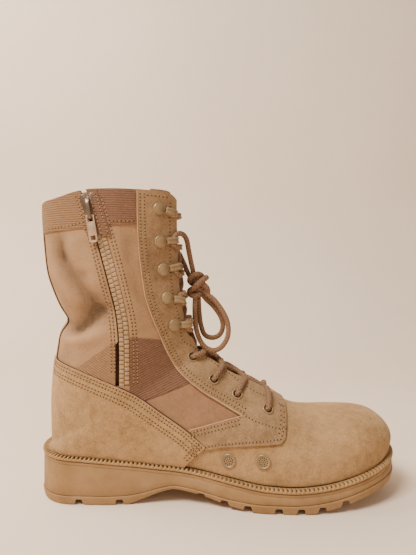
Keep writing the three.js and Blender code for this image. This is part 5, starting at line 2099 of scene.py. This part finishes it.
# --- hardware
@dataclass
class Hardware:
    """Eyelets, speed hooks and vents, each modelled once and copied."""

    lift: float = 2.05
    reach: float = 15.0
    strap: float = 5.4
    sheet: float = 0.9
    mouth: float = 4.4

    def eyelet(self) -> Object:
        """A rolled flange with its barrel."""
        profile = [
            (3.2, -4.6), (3.6, -4.6), (3.6, 0.0), (4.65, 0.0), (4.7, 0.35), (4.45, 0.85),
            (4.0, 1.05), (3.55, 0.95), (3.25, 0.5), (3.2, 0.0), (3.2, -4.6),
        ]
        return smooth(turned("eyelet", profile, 28, PAINTED), 50)

    def hook(self) -> Object:
        """A domed cap on a bent strap with two pressed ribs and a flared end."""
        cap = turned(
            "cap",
            [(0, 0), (4.9, 0), (5.3, 0.25), (5.3, 0.75), (5.05, 1.35), (4.5, 1.7), (4.15, 1.6),
             (3.8, 1.8), (2.6, 2.25), (1.3, 2.45), (0, 2.5)],
            32, PAINTED,
        )
        half = self.mouth / 2 + self.sheet
        bend = self.reach - half
        outer = arc(bend, half, half, -90, 90, 12)
        inner = arc(bend, half, half - self.sheet, 90, -90, 12)
        top = 2 * half
        outline = [(0, 0), *outer, (8.4, top - 0.5), (5.2, top - 1.9), (4.7, top - 2.2),
                   (4.9, top - 3.0), (5.6, top - 2.7), (8.6, top - 1.4), *inner,
                   (0, self.sheet)]
        body = extruded("strap", outline, -self.strap / 2, self.strap / 2, 0.22, PAINTED)
        body.data.transform(Matrix.Rotation(pi / 2, 4, "X"))
        parts = [cap, body]
        for y in (-1.5, 1.5):
            rib = [(5.4, top - 1.7), (8.4, top - 0.4), (bend, top + 0.02)]
            rib += [*arc(bend, half, half * 1.02, 90, -90, 10)[1:], (5.4, 0.35)]
            parts.append(tube("rib", [(x, y, z) for x, z in rib], 0.6, 6, PAINTED))
        return smooth(join("hook", parts), 40)

    def vent(self) -> Object:
        """A rimmed disc, drilled with a ring of small holes round one in the middle."""
        disc = turned(
            "vent",
            [(0, -1.6), (4, -1.6), (4, 0.05), (5.6, 0.05), (5.8, 0.35), (5.75, 0.8), (5.4, 1.15),
             (4.9, 1.2), (4.5, 1.0), (4.25, 0.65), (2.0, 0.75), (0, 0.8)],
            36, PAINTED,
        )
        drills = []
        for x, y in [(0.0, 0.0), *arc(0, 0, 1.75, 0, 300, 5), *arc(0, 0, 3.2, 14.9, 344.9, 11)]:
            # the drillings' walls take the painted hole shade
            drill = turned("drill", [(0, 0.1), (0.48, 0.1), (0.48, 2), (0, 2)], 8, HOLE_SHADE)
            drills.append(copied("drill", drill, Matrix.Translation((x * MM, y * MM, 0))))
            drop(drill)
        return smooth(cut(disc, join("drills", drills)), 35)

    def build(self) -> None:
        """Copies each fitting to its places."""
        eyelet, hook, vent = self.eyelet(), self.hook(), self.vent()
        for side in Side:
            for n, (x, z) in enumerate(EYELETS, 1):
                place = set_on(x, z, side, self.lift)
                piece = copied(f"eyelet_{side.label}_{n}_ring", eyelet, place)
                finish_piece(piece, [f"eyelet_{side.label}_{n}"])
            for n, (x, z) in enumerate(HOOKS, 1):
                turn = (4, -8, 14, 6, -14)[n - 1] * (1 if side is Side.MEDIAL else -0.5)
                place = set_on(x, z, side, self.lift) @ Matrix.Rotation(
                    radians(turn * side.value * -1), 4, "Z"
                )
                piece = copied(f"hook_{side.label}_{n}_cap", hook, place)
                finish_piece(piece, [f"hook_{side.label}_{n}"])
        for n, (x, z) in enumerate(VENTS, 1):
            piece = copied(f"vent_{n}_disc", vent, set_on(x, z, Side.MEDIAL, 0.1))
            finish_piece(piece, [f"vent_{n}"])
        for source in (eyelet, hook, vent):
            drop(source)


# --- zip
@dataclass
class Zip:
    """Tape, two columns of teeth, the slider and its swinging pull."""

    pitch: float = 3.6
    tooth_sunk: float = 0.75
    pivot: tuple = (14.0, -40.089, 230.0)
    across: tuple = (0.987227, 0.0, 0.159318)
    up: tuple = (-0.159318, 0.0, 0.987227)
    bar: float = 1.3
    width: float = 6.6
    length: float = 21.0
    plate: float = 1.2

    def frame(self) -> Matrix:
        """The slider's frame: across the zip, up along it, out of the boot."""
        made = Matrix((self.across, self.up, (0.0, -1.0, 0.0))).transposed().to_4x4()
        made.translation = Vector(self.pivot) * MM
        return made

    def ribbon(self) -> None:
        """The tape, with a deep fold behind the teeth whose faces take a painted shadow."""
        section = [(-9, -2.4), (-7.4, -3.4), (-4.7, -4.6), (-3.9, -4.5), (-3.5, -1.3),
                   (-3.1, -0.75), (5.6, -0.75), (9, -2.4)]
        rails = [zip_edge(offset, 3.0) for offset, _ in section]
        count = min(len(r) for r in rails)
        points = []
        for i in range(count):
            for thick in (0.0, -0.9):
                for rail, (_, depth) in zip(rails, section):
                    x, z = rail[i]
                    point, out = LAST.at(x, min(z, 250.5), Side.MEDIAL)
                    spot = point + out * (depth + thick)
                    points.append((spot.x, spot.y, min(z, 249.5)))
        wide = len(section)
        ring = 2 * wide
        order = [*range(wide), *range(ring - 1, wide - 1, -1)]
        rings = [[points[i * ring + k] for k in order] for i in range(count)]
        rings = [r for r, s in zip(rings, [None, *rings]) if s is None or r[0][2] - s[0][2] > 0.3]
        made = loft("zip_ribbon", rings, TAPE)
        made.data.materials.append(SHADOW)
        # faces deep in the fold behind the teeth take the painted shadow
        for face in made.data.polygons:
            point, _ = LAST.at(face.center.x / MM, face.center.z / MM, Side.MEDIAL)
            if face.center.y / MM - point.y > 2.7:
                face.material_index = 1
        finish_piece(smooth(made, 40), ["zip_tape"])

    def tooth(self) -> Object:
        """One tooth: a rounded block with a waist and a nose."""
        bpy.ops.object.select_all(action="DESELECT")
        bpy.ops.mesh.primitive_cube_add(size=MM)
        made = bpy.context.object
        made.data.transform(Matrix.Diagonal((3.9, 2.9, 1.6, 1)))
        made.data.materials.append(TEETH)
        modify(made, "BEVEL", width=0.55 * MM, segments=2)
        return smooth(made, 60)

    def chain(self) -> None:
        """Two columns of teeth, set half a pitch apart."""
        tooth = self.tooth()
        parts = []
        for offset, share in ((-1.3, 0.25), (2.9, 0.75)):
            line = [p for p in zip_edge(offset, 1.0) if 90 < p[1] < 217]
            spots = even_line(line, self.pitch)
            for a, b in zip(spots, spots[1:]):
                x, z = a[0] + (b[0] - a[0]) * share, a[1] + (b[1] - a[1]) * share
                point, out = LAST.at(x, z, Side.MEDIAL)
                along = Vector((b[0] - a[0], 0, b[1] - a[1])).normalized()
                ahead = Vector((along.z, 0, -along.x))
                place = frame_of((point - out * self.tooth_sunk) * MM, out, ahead)
                parts.append(copied("tooth", tooth, place))
        drop(tooth)
        piece = join("zip_teeth_columns", parts)
        finish_piece(piece, ["zip_chain"])

    def slider(self) -> None:
        """The slider's body with its bridge."""
        face = [(-2.7, -1.8), (2.7, -1.8), (4.2, 4), (6.0, 11), (6.3, 13.5), (5.9, 16.6),
                (4.6, 18.3), (2.0, 18.6), (0.6, 15.6), (-0.6, 15.6), (-2.0, 18.6), (-4.6, 18.3),
                (-5.9, 16.6), (-6.3, 13.5), (-6.0, 11), (-4.2, 4)]
        parts = [extruded("face", face, -3.6, -2.0, 0.45, BRONZE)]
        side = [(-2.5, -2.4), (-2.6, 0.6), (-2.1, 1.9), (-0.8, 2.5), (4.0, 2.55), (9.5, 2.3),
                (12.6, 1.4), (14.2, -0.4), (14.6, -2.4), (12.4, -2.4), (11.4, -0.2), (9.0, 1.0),
                (4.0, 1.35), (0.0, 1.3), (-1.1, 0.7), (-1.2, -2.4)]
        bridge = extruded("bridge", side, -1.5, 1.5, 0.3, BRONZE)
        turn = Matrix(((0, 0, 1, 0), (1, 0, 0, 0), (0, 1, 0, 0), (0, 0, 0, 1)))
        bridge.data.transform(turn)
        parts.append(bridge)
        piece = join("zip_slider_body", parts)
        piece.data.transform(self.frame())
        tidy(piece, 0.0001)
        finish_piece(smooth(piece, 40), ["zip_slider"])

    def pull(self) -> None:
        """The pull: a flat plate with a slot for the bridge and a window near its end."""
        half, end = self.width / 2, -self.length
        near = [(half, end + 1.6), (half, 0), (half - 0.5, self.bar / 2)]
        foot = [(-half + 1.6, end), (half - 1.6, end), (half - 0.5, end + 0.5)]
        outline = [(-half + 0.5, self.bar / 2), (-half, 0), (-half, end + 1.6),
                   (-half + 0.5, end + 0.5), *foot, *near]
        plate = extruded("plate", outline, -self.plate / 2, self.plate / 2, 0.0, BRIGHT)
        for wide, low, high in ((2.1, -4.6, -self.bar / 2), (1.9, end + 1.8, end + 5.4)):
            window = [(-wide, low), (wide, low), (wide, high), (-wide, high)]
            cut(plate, extruded("window", window, -2, 2, 0.0, BRIGHT))
        modify(plate, "BEVEL", width=0.22 * MM, segments=2, limit_method="ANGLE", angle_limit=0.6)
        panel = [(-1.9, end + 7.2), (1.9, end + 7.2), (2.1, -6.4), (-2.1, -6.4)]
        raised = extruded("panel", panel, self.plate / 2 - 0.2, self.plate / 2 + 0.25, 0.2, BRIGHT)
        piece = join("zip_pull_plate", [plate, raised])
        piece.data.transform(self.frame())
        finish_piece(smooth(piece, 40), ["zip_pull"], body="tab")

    def guard(self) -> None:
        """The dark webbing that covers the chain above the slider."""
        rows = {d: [p for p in zip_edge(d, 3.0) if p[1] > 213] for d in (0.6, 8.8)}
        outline = [*rows[0.6], (14, 266), *rows[8.8][::-1]]
        made = LAST.sheet(
            "zip_guard", 1.3, 0.9, lambda p: p.y < 0 and -6 < p.x < 42 and p.z > 200, [BAND_DARK]
        )
        cut(made, prism(outline, -90, -10, BAND_DARK), "INTERSECT")
        cut(made, collar_cutter(BAND_DARK))
        finish_piece(smooth(made, 38))

    def build(self) -> None:
        """Builds the zip from the tape out."""
        self.ribbon()
        self.guard()
        self.chain()
        self.slider()
        self.pull()


def main() -> None:
    """Builds the boot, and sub-assembly by sub-assembly."""
    logging.basicConfig(level=logging.INFO, format="%(name)s %(message)s")
    bpy.ops.object.select_all(action="DESELECT")
    Studio().build()
    for maker in (Lacing(), Sole(), Upper(), Stitching(), Hardware(), Zip()):
        maker.build()
        LOG.info("%s built", type(maker).__name__)


if __name__ == "__main__":
    main()
